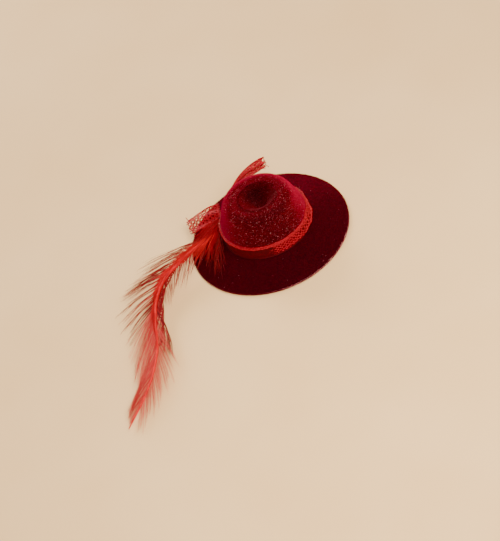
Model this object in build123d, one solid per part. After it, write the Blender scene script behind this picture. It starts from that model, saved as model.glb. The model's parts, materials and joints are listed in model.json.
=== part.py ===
from build123d import *
import os
from math import cos, degrees, radians, sin, tan

# A doll's-house hat, about one twelfth of life size: a thin moulded form with a round
# crown and a wide brim, flocked with short red fibre, trimmed with a mesh ribbon that is
# tied at the left of the crown, and with one long dyed plume tucked under the ribbon.
#
# Millimetres. +Z is up along the crown's axis, +X is the wearer's side away from the
# plume, -Y is the front. The origin is the centre of the head opening, in the plane
# where the opening's wall meets the underside of the brim.

# ---- Driving dimensions ---------------------------------------------------------------

# Moulded form
brim_radius = 21.0
brim_slope = 15.0            # degrees that the brim falls away from the crown
opening_radius = 10.2        # inside of the head opening
opening_depth = 4.6          # straight wall above the opening's mouth
crown_lean = 19.4            # degrees that the wall leans in above the ribbon
crown_height = 12.6          # top of the crown above the opening's mouth
shoulder_radius = 2.8
form_thickness = 0.7
rest_width = 0.8             # flat ring that the rim stands on

# Flock
flock_depth = 0.3
flock_rest_gap = 0.05        # the under coat stays this far above the table
flock_mouth_gap = 0.3        # bare ring round the head opening

# Dent pressed into the crown's top
dent_depth = 3.4
dent_rise = 2.0              # height of the pressing tool's centre above the top
dent_half_width = 5.2
dent_half_length = 5.6
dent_shift_right = 0.5
dent_shift_back = 0.4

# Ribbon
ribbon_width = 4.0
ribbon_thickness = 0.45
tail_thickness = 0.3
knot_azimuth = 138.0         # degrees from +X, turning towards +Y
knot_half_length = 1.7
knot_half_width = 1.0
knot_half_height = 1.7

# Plume
quill_from_knot = 4.3        # along the ribbon
quill_diameter = 1.0
shaft_tip_diameter = 0.24
quill_lift = 0.6             # above the middle of the ribbon
quill_clearance = 0.2        # between the quill and the ribbon
barb_clearance = 0.05        # between the shaft and the webs beside it
web_thickness = 0.4
down_thickness = 1.1
tuft_thickness = 0.9
plume_tip_height = 1.1       # centre of the tip above the table
glue_half_length = 1.5
glue_half_height = 0.9

# ---- Sizes that follow ----------------------------------------------------------------

wall_thickness = form_thickness + flock_depth
crown_radius = opening_radius + wall_thickness
band_radius = crown_radius + ribbon_thickness
brim_fall = tan(radians(brim_slope))
wall_lean = tan(radians(crown_lean))
rest_height = -(brim_radius - rest_width - opening_radius) * brim_fall
far = 2.0 * (brim_radius + crown_height)


def brim_height(radius, layer):
    """Height of the brim's face that lies `layer` above its underside."""
    return layer / cos(radians(brim_slope)) - (radius - opening_radius) * brim_fall


band_bottom = brim_height(crown_radius, wall_thickness)
band_middle = band_bottom + ribbon_width / 2

# ---- Form and flock -------------------------------------------------------------------


def hat_solid(layer):
    """Everything under the face that lies `layer` outside the form's inner face."""
    wall = opening_radius + layer
    lean_start = opening_depth + layer * tan(radians(crown_lean / 2))
    top = crown_height - wall_thickness + layer
    corner = wall - (top - lean_start) * wall_lean
    outside = brim_radius + form_thickness
    outline = Polyline(
        (0, -far),
        (outside, -far),
        (outside, brim_height(outside, layer)),
        (wall, brim_height(wall, layer)),
        (wall, lean_start),
        (corner, top),
        (0, top),
        close=True,
    )
    section = make_face(outline)
    shoulder = section.vertices().sort_by_distance((corner, top, 0))[0]
    section = fillet(shoulder, shoulder_radius - wall_thickness + layer)
    hollow = dent(wall_thickness - layer)
    return revolve(Plane.XZ * section, Axis.Z) - hollow


def dent(grow):
    """The egg-shaped pressing tool, larger all round by `grow`."""
    tool = scale(
        Sphere(1),
        by=(dent_half_width + grow, dent_half_length + grow, dent_depth + dent_rise + grow),
    )
    return Pos(dent_shift_right, dent_shift_back, crown_height + dent_rise) * tool


def ring(inner, outer, bottom, top):
    """A plain ring about the crown's axis."""
    middle = Pos(0, 0, (bottom + top) / 2)
    height = top - bottom
    return middle * (Cylinder(outer, height) - Cylinder(inner, height))


blank = Pos(0, 0, rest_height + far / 2) * Cylinder(brim_radius, far)
cavity = hat_solid(0)
form_face = hat_solid(form_thickness)
flock_face = hat_solid(wall_thickness)

hat_form = (form_face - cavity) & blank
flock_upper = (flock_face - form_face) & blank

under_inner = opening_radius + flock_mouth_gap
flock_under_reach = -rest_height - flock_rest_gap - flock_depth / cos(radians(brim_slope))
under_outer = opening_radius + flock_under_reach / brim_fall
under_section = make_face(
    Polyline(
        (under_inner, brim_height(under_inner, 0)),
        (under_outer, brim_height(under_outer, 0)),
        (under_outer, brim_height(under_outer, -flock_depth)),
        (under_inner, brim_height(under_inner, -flock_depth)),
        close=True,
    )
)
flock_under = revolve(Plane.XZ * under_section, Axis.Z)

# ---- Ribbon ---------------------------------------------------------------------------


def beside_band(along, standoff, lift):
    """A point outside the ribbon band.

    `along` is its distance from the knot round the band, positive towards the front,
    and `lift` its height above the middle of the band.
    """
    radius = band_radius + standoff
    turn = radians(knot_azimuth) + along / band_radius
    return Vector(radius * cos(turn), radius * sin(turn), band_middle + lift)


def strip(route, widths, thickness, across, side=0.0):
    """A flat strip along `route`, built from one oblong section at each point.

    `across` gives the direction of the strip's width at each point. With `side` zero the
    route is its middle line, and otherwise its near edge is `side` away from the route.
    """
    sections = []
    for point, width, direction in zip(route, widths, across):
        index = route.index(point)
        ahead = route[min(index + 1, len(route) - 1)]
        behind = route[max(index - 1, 0)]
        along = (ahead - behind).normalized()
        flat = (direction - along * direction.dot(along)).normalized()
        shift = 0.0 if side == 0.0 else side + width / 2
        place = Plane(origin=point + flat * shift, x_dir=flat, z_dir=along)
        sections.append(place * Rectangle(width, thickness))
    return loft(sections, ruled=True)


ribbon_band = ring(crown_radius, band_radius, band_bottom, band_bottom + ribbon_width)

# The knot sits on the band.
knot_core = scale(Sphere(1), by=(knot_half_width, knot_half_length, knot_half_height))
knot_reach = band_radius + 0.6 * knot_half_width
knot = Rot(0, 0, knot_azimuth) * (Pos(knot_reach, 0, band_middle) * knot_core)
band_column = Pos(0, 0, band_middle) * Cylinder(band_radius, far)
ribbon_knot = knot - band_column

upright = Vector(0, 0, 1)

# One end comes out of the knot, runs back round the crown and springs away from it.
back_route = [
    beside_band(-0.9, 0.9, 0.1),
    beside_band(-5.7, 1.6, 0.7),
    beside_band(-9.4, 2.2, 2.2),
    beside_band(-12.0, 3.4, 3.8),
    beside_band(-13.8, 5.0, 5.0),
]
back_widths = [2.2, 3.0, 3.2, 3.2, 3.2]
back_across = [upright] * len(back_route)
ribbon_tail_back = strip(back_route, back_widths, tail_thickness, back_across) - knot

# The other end fans out over the left edge of the brim.
side_route = [
    beside_band(0.5, 1.2, 0.2),
    beside_band(1.2, 4.6, 0.1),
    beside_band(1.8, 7.4, -0.2),
    beside_band(2.2, 9.6, -0.7),
]
side_widths = [1.8, 3.2, 4.6, 5.6]
side_across = [Vector(0.3, -0.9, -0.3)] * len(side_route)
ribbon_tail_side = strip(side_route, side_widths, tail_thickness, side_across) - knot

# ---- Plume ----------------------------------------------------------------------------

# Each row: how far the shaft has gone from the quill's seat to the left and to the
# front, and its share of the whole drop from the ribbon to the tip.
plume_rows = [
    (0.0, 0.0, 0.00),
    (2.4, 1.6, 0.06),
    (5.6, 2.6, 0.12),
    (11.8, 5.0, 0.26),
    (17.7, 8.2, 0.38),
    (22.0, 13.8, 0.50),
    (24.1, 19.8, 0.57),
    (26.5, 29.7, 0.62),
    (30.1, 37.5, 0.68),
    (35.4, 44.5, 0.82),
    (41.2, 50.4, 1.00),
]
quill_standoff = quill_clearance + quill_diameter / 2
seat = beside_band(quill_from_knot, quill_standoff, quill_lift)
tip_height = rest_height + plume_tip_height
plume_drop = seat.Z - tip_height
plume_route = [
    seat + Vector(-left, -front, -share * plume_drop) for left, front, share in plume_rows
]


def run_lengths(route):
    """Distance along the route to each of its points."""
    lengths = [0.0]
    for start, end in zip(route, route[1:]):
        lengths.append(lengths[-1] + (end - start).length)
    return lengths


shaft_lengths = run_lengths(plume_route)
shaft_taper = [length / shaft_lengths[-1] for length in shaft_lengths]
shaft_radii = [
    (quill_diameter + (shaft_tip_diameter - quill_diameter) * share) / 2
    for share in shaft_taper
]


def tapered_rod(route, radii):
    """A round rod with a straight stretch between points and a radius at each."""
    sections = []
    for index, (point, radius) in enumerate(zip(route, radii)):
        ahead = route[min(index + 1, len(route) - 1)]
        behind = route[max(index - 1, 0)]
        place = Plane(origin=point, z_dir=(ahead - behind).normalized())
        sections.append(place * Circle(radius))
    return loft(sections, ruled=True)


feather_shaft = tapered_rod(plume_route, shaft_radii)


def beside_shaft(first, last, widths, thickness, turn):
    """A web or a bed of down along one side of the shaft, between two of its points."""
    route = plume_route[first:last]
    across = []
    for index in range(first, last):
        ahead = plume_route[min(index + 1, len(plume_route) - 1)]
        behind = plume_route[max(index - 1, 0)]
        along = (ahead - behind).normalized()
        across.append(along.cross(upright) * turn)
    clear = max(shaft_radii[first:last]) + barb_clearance
    return strip(route, widths, thickness, across, clear)


OUTER = 1                    # the side away from the hat
INNER = -1                   # the side towards the hat

outer_down_widths = [3.0, 7.0, 10.5, 11.0, 9.0, 6.5]
inner_down_widths = [3.0, 9.0, 9.5, 7.0, 4.0]
outer_web_widths = [6.4, 5.4, 5.2, 3.2, 0.6]
inner_web_widths = [3.0, 3.2, 3.0, 2.0, 0.5]

feather_down_outer = beside_shaft(1, 7, outer_down_widths, down_thickness, OUTER)
feather_down_inner = beside_shaft(1, 6, inner_down_widths, down_thickness, INNER)
feather_vane_outer = beside_shaft(6, 11, outer_web_widths, web_thickness, OUTER)
feather_vane_inner = beside_shaft(6, 11, inner_web_widths, web_thickness, INNER)

# Loose down at the quill, lying forward over the brim.
tuft_route = [
    seat + Vector(-2.2, -3.4, -1.9),
    seat + Vector(-3.4, -8.6, -2.4),
    seat + Vector(-5.0, -13.6, -3.2),
    seat + Vector(-6.2, -17.6, -3.9),
]
tuft_widths = [2.6, 4.4, 5.4, 5.0]
tuft_across = [Vector(1, 0, 0)] * len(tuft_route)
feather_tuft = strip(tuft_route, tuft_widths, tuft_thickness, tuft_across)

# The glue that holds the quill fills the gap between it and the ribbon.
glue_reach = quill_standoff + quill_diameter / 2
glue_drop = scale(Sphere(1), by=(glue_reach, glue_half_length, glue_half_height))
glue_azimuth = knot_azimuth + degrees(quill_from_knot / band_radius)
glue_blob = Rot(0, 0, glue_azimuth) * (Pos(band_radius, 0, seat.Z) * glue_drop)
down = feather_down_outer + feather_down_inner
glue_pad = glue_blob - band_column - feather_shaft - ribbon_knot - down

# ---- Sub-parts ------------------------------------------------------------------------

nodes = {
    "hat_form": hat_form,
    "flock_upper": flock_upper,
    "flock_under": flock_under,
    "ribbon_band": ribbon_band,
    "ribbon_knot": ribbon_knot,
    "ribbon_tail_back": ribbon_tail_back,
    "ribbon_tail_side": ribbon_tail_side,
    "feather_shaft": feather_shaft,
    "feather_down_outer": feather_down_outer,
    "feather_down_inner": feather_down_inner,
    "feather_vane_outer": feather_vane_outer,
    "feather_vane_inner": feather_vane_inner,
    "feather_tuft": feather_tuft,
    "glue_pad": glue_pad,
}

os.makedirs("parts", exist_ok=True)
for name, shape in nodes.items():
    export_step(shape, f"parts/{name}.step")
    size = shape.bounding_box().size
    print(f"{name:20s} {shape.volume:9.3f} mm3  {size.X:.1f} x {size.Y:.1f} x {size.Z:.1f}")
print(f"table at {rest_height:.3f}, ribbon from {band_bottom:.3f}")
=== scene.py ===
# %% [markdown]
# # A plumed miniature hat
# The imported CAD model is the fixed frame. It says where every piece goes and how large it is, so each
# cell below takes its sizes from the frame and only decides how the piece looks. Lengths are written in
# millimetres, as a maker would, and turned to metres where a mesh is made.

# %% Load the frame
import json
from math import cos, pi, radians, sin, tan

import bpy
import numpy as np
from mathutils import Matrix, Vector, noise


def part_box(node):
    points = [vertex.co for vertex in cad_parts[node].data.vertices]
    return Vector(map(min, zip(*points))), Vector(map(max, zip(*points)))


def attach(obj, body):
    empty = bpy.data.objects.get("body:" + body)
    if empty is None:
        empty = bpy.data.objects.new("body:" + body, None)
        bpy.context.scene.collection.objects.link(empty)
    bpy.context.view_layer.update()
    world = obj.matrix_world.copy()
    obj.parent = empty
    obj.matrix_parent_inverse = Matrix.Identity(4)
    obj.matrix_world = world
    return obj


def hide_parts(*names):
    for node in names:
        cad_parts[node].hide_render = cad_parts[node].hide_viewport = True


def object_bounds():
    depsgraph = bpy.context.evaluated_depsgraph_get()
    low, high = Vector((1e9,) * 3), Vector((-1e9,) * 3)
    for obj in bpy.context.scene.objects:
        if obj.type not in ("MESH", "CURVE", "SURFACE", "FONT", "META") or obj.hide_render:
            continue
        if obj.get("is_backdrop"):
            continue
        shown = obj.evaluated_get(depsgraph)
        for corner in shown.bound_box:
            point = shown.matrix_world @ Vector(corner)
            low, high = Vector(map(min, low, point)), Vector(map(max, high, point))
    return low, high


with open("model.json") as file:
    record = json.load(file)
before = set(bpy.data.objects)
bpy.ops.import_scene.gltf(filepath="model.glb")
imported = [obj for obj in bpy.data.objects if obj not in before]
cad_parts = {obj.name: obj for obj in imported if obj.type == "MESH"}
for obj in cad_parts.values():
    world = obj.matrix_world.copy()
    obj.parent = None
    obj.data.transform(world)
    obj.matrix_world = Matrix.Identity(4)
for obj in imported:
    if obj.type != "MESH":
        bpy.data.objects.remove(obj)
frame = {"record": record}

MM = 0.001
cad_box = [list(corner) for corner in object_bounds()]
mounts = {mount["name"]: mount for mount in frame["record"]["mounts"]}


def node_box(node):
    """Lowest and highest corner of a CAD node, in millimetres."""
    low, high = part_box(node)
    return low / MM, high / MM


print("CAD box, mm:", [[round(value / MM, 1) for value in corner] for corner in cad_box])

# %% [markdown]
# ## Sizes read from the frame
# The hat stands on its rim. The head opening is a mount, so the record gives its radius and depth. The
# crown, the rim and the ribbon come from the boxes of their nodes. The thin layers are the CAD's own:
# a 0.7 mm form under 0.3 mm of flock.

# %% Sizes
form_low, form_high = node_box("hat_form")
band_low, band_high = node_box("ribbon_band")
knot_low, knot_high = node_box("ribbon_knot")

rim_radius = form_high.x
table_height = form_low.z
crown_top = node_box("flock_upper")[1].z
opening_radius = mounts["head_opening"]["dims"]["r_mm"]
opening_depth = mounts["head_opening"]["dims"]["length_mm"]
band_radius = band_high.x
band_bottom = band_low.z
band_top = band_high.z
band_middle = (band_bottom + band_top) / 2

FORM = 0.7
FLOCK = 0.3
WALL = FORM + FLOCK
BRIM_SLOPE = radians(15.0)
CROWN_LEAN = radians(19.4)
print("rim", rim_radius, "table", table_height, "crown top", crown_top, "band", band_bottom, band_top)

# %% [markdown]
# ## Camera
# The hat is seen from in front, 44 degrees above the plane of its brim, with the camera rolled 23
# degrees, so that the hat leans to the left. A long lens held well back keeps the outline of the brim a
# plain ellipse. The camera comes first, so that every later cell can be judged through it.

# %% Camera
CAMERA_HEIGHT = radians(43.8)
CAMERA_ROLL = radians(23.32)
CAMERA_DISTANCE = 900.0
VIEW_HEIGHT = 139.6             # how much of the subject, in millimetres, the height of the view takes in
AIM_LEFT, AIM_DOWN = 5.3, 9.5   # the view's centre lies this far from the rim's, to make room for the plume

toward_camera = Vector((0.0, -cos(CAMERA_HEIGHT), sin(CAMERA_HEIGHT)))
level_right = Vector((1.0, 0.0, 0.0))
level_up = Vector((0.0, sin(CAMERA_HEIGHT), cos(CAMERA_HEIGHT)))
view_right = level_right * cos(CAMERA_ROLL) - level_up * sin(CAMERA_ROLL)
view_up = level_up * cos(CAMERA_ROLL) + level_right * sin(CAMERA_ROLL)


def facing(right, up, toward, place):
    """The matrix of a camera or a light at `place`, in millimetres, that looks away from `toward`."""
    matrix = Matrix((right, up, toward)).transposed().to_4x4()
    matrix.translation = place * MM
    return matrix


rim_centre = Vector((0.0, 0.0, table_height + 0.4))
aim = rim_centre - view_right * AIM_LEFT - view_up * AIM_DOWN
camera_data = bpy.data.cameras.new("camera")
camera_data.lens = camera_data.sensor_width * CAMERA_DISTANCE / VIEW_HEIGHT
camera_data.clip_start = 0.01
camera = bpy.data.objects.new("camera", camera_data)
bpy.context.scene.collection.objects.link(camera)
camera.matrix_world = facing(
    view_right, view_up, toward_camera, aim + toward_camera * CAMERA_DISTANCE
)
bpy.context.scene.camera = camera
print("lens", round(camera_data.lens, 1), "mm")

# %% [markdown]
# ## Helpers
# A colour is written the way a paint chart gives it, as sRGB hex, and one function turns it to the linear
# values that a shader wants. One function adds a node to any tree, shader or geometry, with its settings
# and its links, and three short ones add the nodes that do sums. One function makes an object from points
# and faces given in millimetres, and another lists the faces of a surface made of rings of points, which
# is what most of the hat is.

# %% Helpers
def linear(hex_colour):
    """A linear RGBA colour from an sRGB hex string."""
    levels = [int(hex_colour[start:start + 2], 16) / 255 for start in (1, 3, 5)]
    return [v / 12.92 if v <= 0.04045 else ((v + 0.055) / 1.055) ** 2.4 for v in levels] + [1.0]


def add(tree, kind, inputs=None, **settings):
    """Adds a node. An input given a socket is linked to it, and any other input takes the value."""
    node = tree.nodes.new(kind)
    for name, value in settings.items():
        setattr(node, name, value)
    for name, value in (inputs or {}).items():
        if isinstance(value, bpy.types.NodeSocket):
            tree.links.new(value, node.inputs[name])
        else:
            node.inputs[name].default_value = value
    return node


def maths(tree, operation, *values):
    """A Math node. Returns its output."""
    return add(tree, "ShaderNodeMath", dict(enumerate(values)), operation=operation).outputs[0]


def vectors(tree, operation, *values):
    """A Vector Math node. Returns its vector, or its number where the operation gives one."""
    inputs = dict(enumerate(values))
    if operation == "SCALE":
        inputs = {0: values[0], "Scale": values[1]}
    node = add(tree, "ShaderNodeVectorMath", inputs, operation=operation)
    return node.outputs["Value" if operation in ("DISTANCE", "DOT_PRODUCT") else "Vector"]


def ranged(tree, value, start, end, low, high):
    """Stretches a value that runs from `start` to `end` so that it runs from `low` to `high`."""
    return add(tree, "ShaderNodeMapRange", {0: value, 1: start, 2: end, 3: low, 4: high}).outputs[0]


def make_object(name, points, faces=(), edges=(), smooth=False):
    """A mesh object at the origin, from points in millimetres."""
    mesh = bpy.data.meshes.new(name)
    mesh.from_pydata([Vector(point) * MM for point in points], edges, faces)
    if smooth:
        mesh.polygons.foreach_set("use_smooth", [True] * len(faces))
    mesh.update()
    made = bpy.data.objects.new(name, mesh)
    bpy.context.scene.collection.objects.link(made)
    return made


def quads(rings, around, first=0, closed=False):
    """Faces between rings of `around` points each. With `closed`, the last ring joins the first."""
    faces = []
    for ring in range(rings if closed else rings - 1):
        near, far = first + ring * around, first + (ring + 1) % rings * around
        for step in range(around):
            right = (step + 1) % around
            faces.append((near + step, far + step, far + right, near + right))
    return faces


def make_curve(name, points):
    """A smooth curve through points in millimetres."""
    data = bpy.data.curves.new(name, "CURVE")
    data.dimensions = "3D"
    data.twist_mode = "Z_UP"
    data.resolution_u = 24
    spline = data.splines.new("BEZIER")
    spline.bezier_points.add(len(points) - 1)
    for knot, point in zip(spline.bezier_points, points):
        knot.co = Vector(point) * MM
        knot.handle_left_type = "AUTO"
        knot.handle_right_type = "AUTO"
    made = bpy.data.objects.new(name, data)
    bpy.context.scene.collection.objects.link(made)
    return made


# %% [markdown]
# ## Running a geometry tree
# A geometry tree is a small machine: named inputs go in, and geometry comes out. This helper starts one
# with its named inputs, and another ends it. The next runs it on an object and keeps the result as a plain
# mesh, so that the model holds meshes and not machines. Three more do what several of the trees
# need: they keep a value on each point, read it again, and put a thread's round section along a line.

# %% Geometry tree helpers
SOCKETS = {
    "Geometry": "NodeSocketGeometry",
    "Material": "NodeSocketMaterial",
    int: "NodeSocketInt",
    float: "NodeSocketFloat",
}


def start_tree(name, **inputs):
    """A geometry tree with a geometry, a material and number inputs. Returns the tree and its input node."""
    tree = bpy.data.node_groups.new(name, "GeometryNodeTree")
    tree.interface.new_socket("Geometry", in_out="OUTPUT", socket_type=SOCKETS["Geometry"])
    tree.interface.new_socket("Geometry", in_out="INPUT", socket_type=SOCKETS["Geometry"])
    tree.interface.new_socket("Material", in_out="INPUT", socket_type=SOCKETS["Material"])
    for label, value in inputs.items():
        title = label.replace("_", " ").title()
        socket = tree.interface.new_socket(title, in_out="INPUT", socket_type=SOCKETS[type(value)])
        socket.default_value = value
    return tree, tree.nodes.new("NodeGroupInput").outputs


def end_tree(tree, geometry, material, smooth=True):
    """Every tree ends in Realize Instances and Set Material."""
    if smooth:
        geometry = add(tree, "GeometryNodeSetShadeSmooth", {0: geometry}).outputs[0]
    real = add(tree, "GeometryNodeRealizeInstances", {"Geometry": geometry})
    shown = add(tree, "GeometryNodeSetMaterial", {"Geometry": real.outputs[0], "Material": material})
    add(tree, "NodeGroupOutput", {"Geometry": shown.outputs[0]})


def run_tree(name, source, tree, material, **inputs):
    """Runs the tree on the source object and returns the result as a new plain mesh object."""
    modifier = source.modifiers.new("grow", "NODES")
    modifier.node_group = tree
    wanted = {label.replace("_", " ").title(): value for label, value in inputs.items()}
    wanted["Material"] = material
    for item in tree.interface.items_tree:
        if item.in_out == "INPUT" and item.name in wanted:
            modifier[item.identifier] = wanted.pop(item.name)
    assert not wanted, f"{tree.name} has no input {list(wanted)}"
    graph = bpy.context.evaluated_depsgraph_get()
    mesh = bpy.data.meshes.new_from_object(
        source.evaluated_get(graph), preserve_all_data_layers=True, depsgraph=graph
    )
    source.modifiers.remove(modifier)
    mesh.name = name
    made = bpy.data.objects.new(name, mesh)
    bpy.context.scene.collection.objects.link(made)
    print(f"{name}: {sum(len(face.vertices) - 2 for face in mesh.polygons)} triangles")
    return made


def kept(tree, geometry, name, value, kind="FLOAT"):
    """Stores a named attribute on the points. Returns the geometry."""
    return add(tree, "GeometryNodeStoreNamedAttribute", {
        "Geometry": geometry, "Name": name, "Value": value,
    }, data_type=kind, domain="POINT").outputs[0]


def recalled(tree, name, kind="FLOAT"):
    """Reads a named attribute."""
    return add(tree, "GeometryNodeInputNamedAttribute", {0: name}, data_type=kind).outputs[0]


def thread_along(tree, lines, thickness, sides):
    """Gives every line a round section of a thickness, with closed ends."""
    circle = add(tree, "GeometryNodeCurvePrimitiveCircle", {"Resolution": sides, "Radius": 1.0},
                 mode="RADIUS")
    radius = maths(tree, "MULTIPLY", thickness, 0.5)
    return add(tree, "GeometryNodeCurveToMesh", {
        0: lines, 1: circle.outputs[0], 2: radius, 3: True,
    }).outputs[0]


def join(name, parts):
    """Joins mesh objects into one, keeping each one's materials."""
    with bpy.context.temp_override(
        active_object=parts[0], selected_editable_objects=parts, selected_objects=parts
    ):
        bpy.ops.object.join()
    parts[0].name = name
    return parts[0]


# %% [markdown]
# ## Flock
# Flock is cut viscose fibre, half a millimetre long, shot upright into wet glue by static electricity.
# Seen straight on, light falls between the fibres and the coat looks almost black-red. Seen along the
# surface, the sides of the fibres catch the light and it turns pink. So the shader paints both by the angle
# of view, painted shade straight on and a painted pink sheen along the surface, with a sheen on top, and
# real fibres stand on the coat. The ground under them is mottled where the coat is uneven.

# %% Flock materials
# Painted shade in the dent: inside these radii round this centre, the pile is mixed towards a dark colour and
# its glow is taken out.
DENT_SHADE_CENTRE = Vector((0.35, -0.9, 0.0))
DENT_SHADE_INNER, DENT_SHADE_OUTER = 4.9, 5.9     # the dent's painted shade runs out between these radii
DENT_SHADE_GLOW = 0.04             # what is left of the painted sheen inside the dent's painted shade
DENT_SHADE_DARK = 0.35             # how much darker the painted shade makes the pile inside the dent
SEEN_INTO = 0.30                # up to here from straight on, the pile is painted darker: painted shade between the fibres
SEEN_INTO_DARK = 0.42
BRUSHED = 4.5                   # size of a brushed patch of the pile
LEAST_BRUSHED, MOST_BRUSHED = 0.8, 1.1      # strength of the glow on such patches
OWN_SIDE = 0.35                 # how much each fibre's own side counts beside the ground it stands on
HIGHLIGHT_FROM, HIGHLIGHT_TO = 0.55, 0.9  # the painted highlight starts and is full at these shares of the rim's radius


def shader(name, **sockets):
    """A new Principled material with constant values on its own sockets."""
    material = bpy.data.materials.new(name)
    material.use_nodes = True
    principled = material.node_tree.nodes["Principled BSDF"]
    for label, value in sockets.items():
        principled.inputs[label.replace("_", " ")].default_value = value
    return material, material.node_tree, principled


def blended(tree, share, one, other):
    """Mixes the surfaces of two shaders."""
    return add(tree, "ShaderNodeMixShader", {0: share, 1: one, 2: other}).outputs[0]


def show(tree, surface):
    """Makes a surface the one that the material shows."""
    output = next(node for node in tree.nodes if node.type == "OUTPUT_MATERIAL")
    tree.links.new(surface, output.inputs["Surface"])


def mottle(tree, principled, dark, light, grain_mm, bump_mm, detail=4.0):
    """Paints a noise between two colours, and raises it as bump. `grain_mm` is the size of a blotch."""
    place = add(tree, "ShaderNodeTexCoord")
    blotch = add(tree, "ShaderNodeTexNoise", {
        "Vector": place.outputs["Object"], "Scale": 1.0 / (grain_mm * MM), "Detail": detail,
        "Roughness": 0.6,
    })
    ramp = add(tree, "ShaderNodeValToRGB", {"Fac": blotch.outputs["Fac"]})
    ramp.color_ramp.elements[0].color = linear(dark)
    ramp.color_ramp.elements[0].position = 0.3
    ramp.color_ramp.elements[1].color = linear(light)
    ramp.color_ramp.elements[1].position = 0.75
    tree.links.new(ramp.outputs["Color"], principled.inputs["Base Color"])
    raised = add(tree, "ShaderNodeBump", {
        "Height": blotch.outputs["Fac"], "Distance": bump_mm * MM, "Strength": 1.0,
    })
    tree.links.new(raised.outputs["Normal"], principled.inputs["Normal"])


def velvet(tree, principled, colour, glow, spread=(0.35, 0.95), pile=False):
    """The glow of a pile seen along the surface: a sheen, and a mix to a lit colour towards the edge.

    The mix to the lit colour is a painted sheen. `spread` says between which two angles it comes up.
    Brushing makes it stronger here and weaker there. Inside the dent there is hardly any, and the pile is
    mixed towards a dark colour: painted shade in the hollow. Seen straight on, light is lost between the
    fibres, and the pile is mixed towards the same dark colour: painted shade. With `pile`, the shading
    follows the ground that the fibres stand on more than each fibre's own side.
    """
    sheen = add(tree, "ShaderNodeBsdfSheen", {"Color": linear(colour), "Roughness": 0.3})
    edge = add(tree, "ShaderNodeLayerWeight", {"Blend": 0.5})
    lit = add(tree, "ShaderNodeBsdfDiffuse", {"Color": linear(colour)})
    if pile:
        ground = add(tree, "ShaderNodeAttribute", attribute_name="pile").outputs["Vector"]
        own = add(tree, "ShaderNodeNewGeometry").outputs["Normal"]
        both = vectors(tree, "ADD", ground, vectors(tree, "SCALE", own, OWN_SIDE))
        normal = vectors(tree, "NORMALIZE", both)
        for node in (sheen, edge, lit, principled):
            tree.links.new(normal, node.inputs["Normal"])
    angle = edge.outputs["Facing"]
    place = add(tree, "ShaderNodeTexCoord").outputs["Object"]
    brushed = add(tree, "ShaderNodeTexNoise", {"Vector": place, "Scale": 1.0 / (BRUSHED * MM)})
    stroke = ranged(tree, brushed.outputs["Fac"], 0.3, 0.7, LEAST_BRUSHED, MOST_BRUSHED)
    # The dent's mask: inside it the painted sheen is taken out and painted shade darkens the pile.
    level = vectors(tree, "MULTIPLY", place, (1.0, 1.0, 0.0))
    away = vectors(tree, "DISTANCE", level, DENT_SHADE_CENTRE * MM)
    outside = ranged(tree, away, DENT_SHADE_INNER * MM, DENT_SHADE_OUTER * MM, DENT_SHADE_GLOW, 1.0)
    # Painted sheen: towards the edge the pile is mixed towards a brighter lit colour.
    strength = maths(tree, "MULTIPLY", ranged(tree, angle, *spread, 0.0, glow),
                     maths(tree, "MULTIPLY", stroke, outside))
    # Painted shade: seen straight on and inside the dent, the pile is mixed towards a dark colour.
    darkness = maths(tree, "ADD", ranged(tree, angle, 0.0, SEEN_INTO, SEEN_INTO_DARK, 0.0),
                     ranged(tree, outside, 0.0, 1.0, DENT_SHADE_DARK, 0.0))
    deep = add(tree, "ShaderNodeBsdfDiffuse", {"Color": linear("#180003")})
    shaded = blended(tree, darkness, principled.outputs[0], deep.outputs[0])
    glowing = blended(tree, strength, shaded, lit.outputs[0])
    calm_sheen = add(tree, "ShaderNodeMixShader", {0: outside, 2: sheen.outputs[0]})
    show(tree, add(tree, "ShaderNodeAddShader", {0: glowing, 1: calm_sheen.outputs[0]}).outputs[0])


def paint_by_tone(tree, principled, stops, highlight_side=None):
    """Colours each fibre or barb by its stored tone. `stops` are pairs of position and colour.

    With a side given as a direction, the higher and paler tones come up only on that side of the hat: a
    painted highlight.
    """
    tone = add(tree, "ShaderNodeAttribute", attribute_name="tone").outputs["Fac"]
    if highlight_side:
        place = add(tree, "ShaderNodeTexCoord").outputs["Object"]
        side = vectors(tree, "DOT_PRODUCT", place, highlight_side)
        highlight_share = ranged(tree, side, rim_radius * HIGHLIGHT_FROM * MM, rim_radius * HIGHLIGHT_TO * MM, 0.5, 1.0)
        tone = maths(tree, "MULTIPLY", tone, highlight_share)
    ramp = add(tree, "ShaderNodeValToRGB", {"Fac": tone})
    elements = ramp.color_ramp.elements
    elements[0].position, elements[0].color = stops[0][0], linear(stops[0][1])
    elements[1].position, elements[1].color = stops[-1][0], linear(stops[-1][1])
    for position, colour in stops[1:-1]:
        elements.new(position).color = linear(colour)
    tree.links.new(ramp.outputs["Color"], principled.inputs["Base Color"])


# Viscose flock seen as a surface: very rough, no gloss, a wide crimson sheen.
flock_ground, tree, principled = shader(
    "viscose_flock_ground", Roughness=0.95, Specular_IOR_Level=0.0,
    Sheen_Weight=0.6, Sheen_Roughness=0.35, Sheen_Tint=linear("#ff1038"),
)
mottle(tree, principled, "#240006", "#44020d", 0.55, 0.10)
velvet(tree, principled, "#d81448", 0.45)

# Single fibres of the brim, upright and dark.
flock_fibre, tree, principled = shader(
    "viscose_flock_fibre", Roughness=0.6, Specular_IOR_Level=0.05,
    Sheen_Weight=0.6, Sheen_Roughness=0.35, Sheen_Tint=linear("#ff1840"),
)
paint_by_tone(tree, principled, ((0.0, "#300008"), (0.75, "#540212"), (1.0, "#700720")))
velvet(tree, principled, "#cc1444", 0.40, pile=True)

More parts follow.
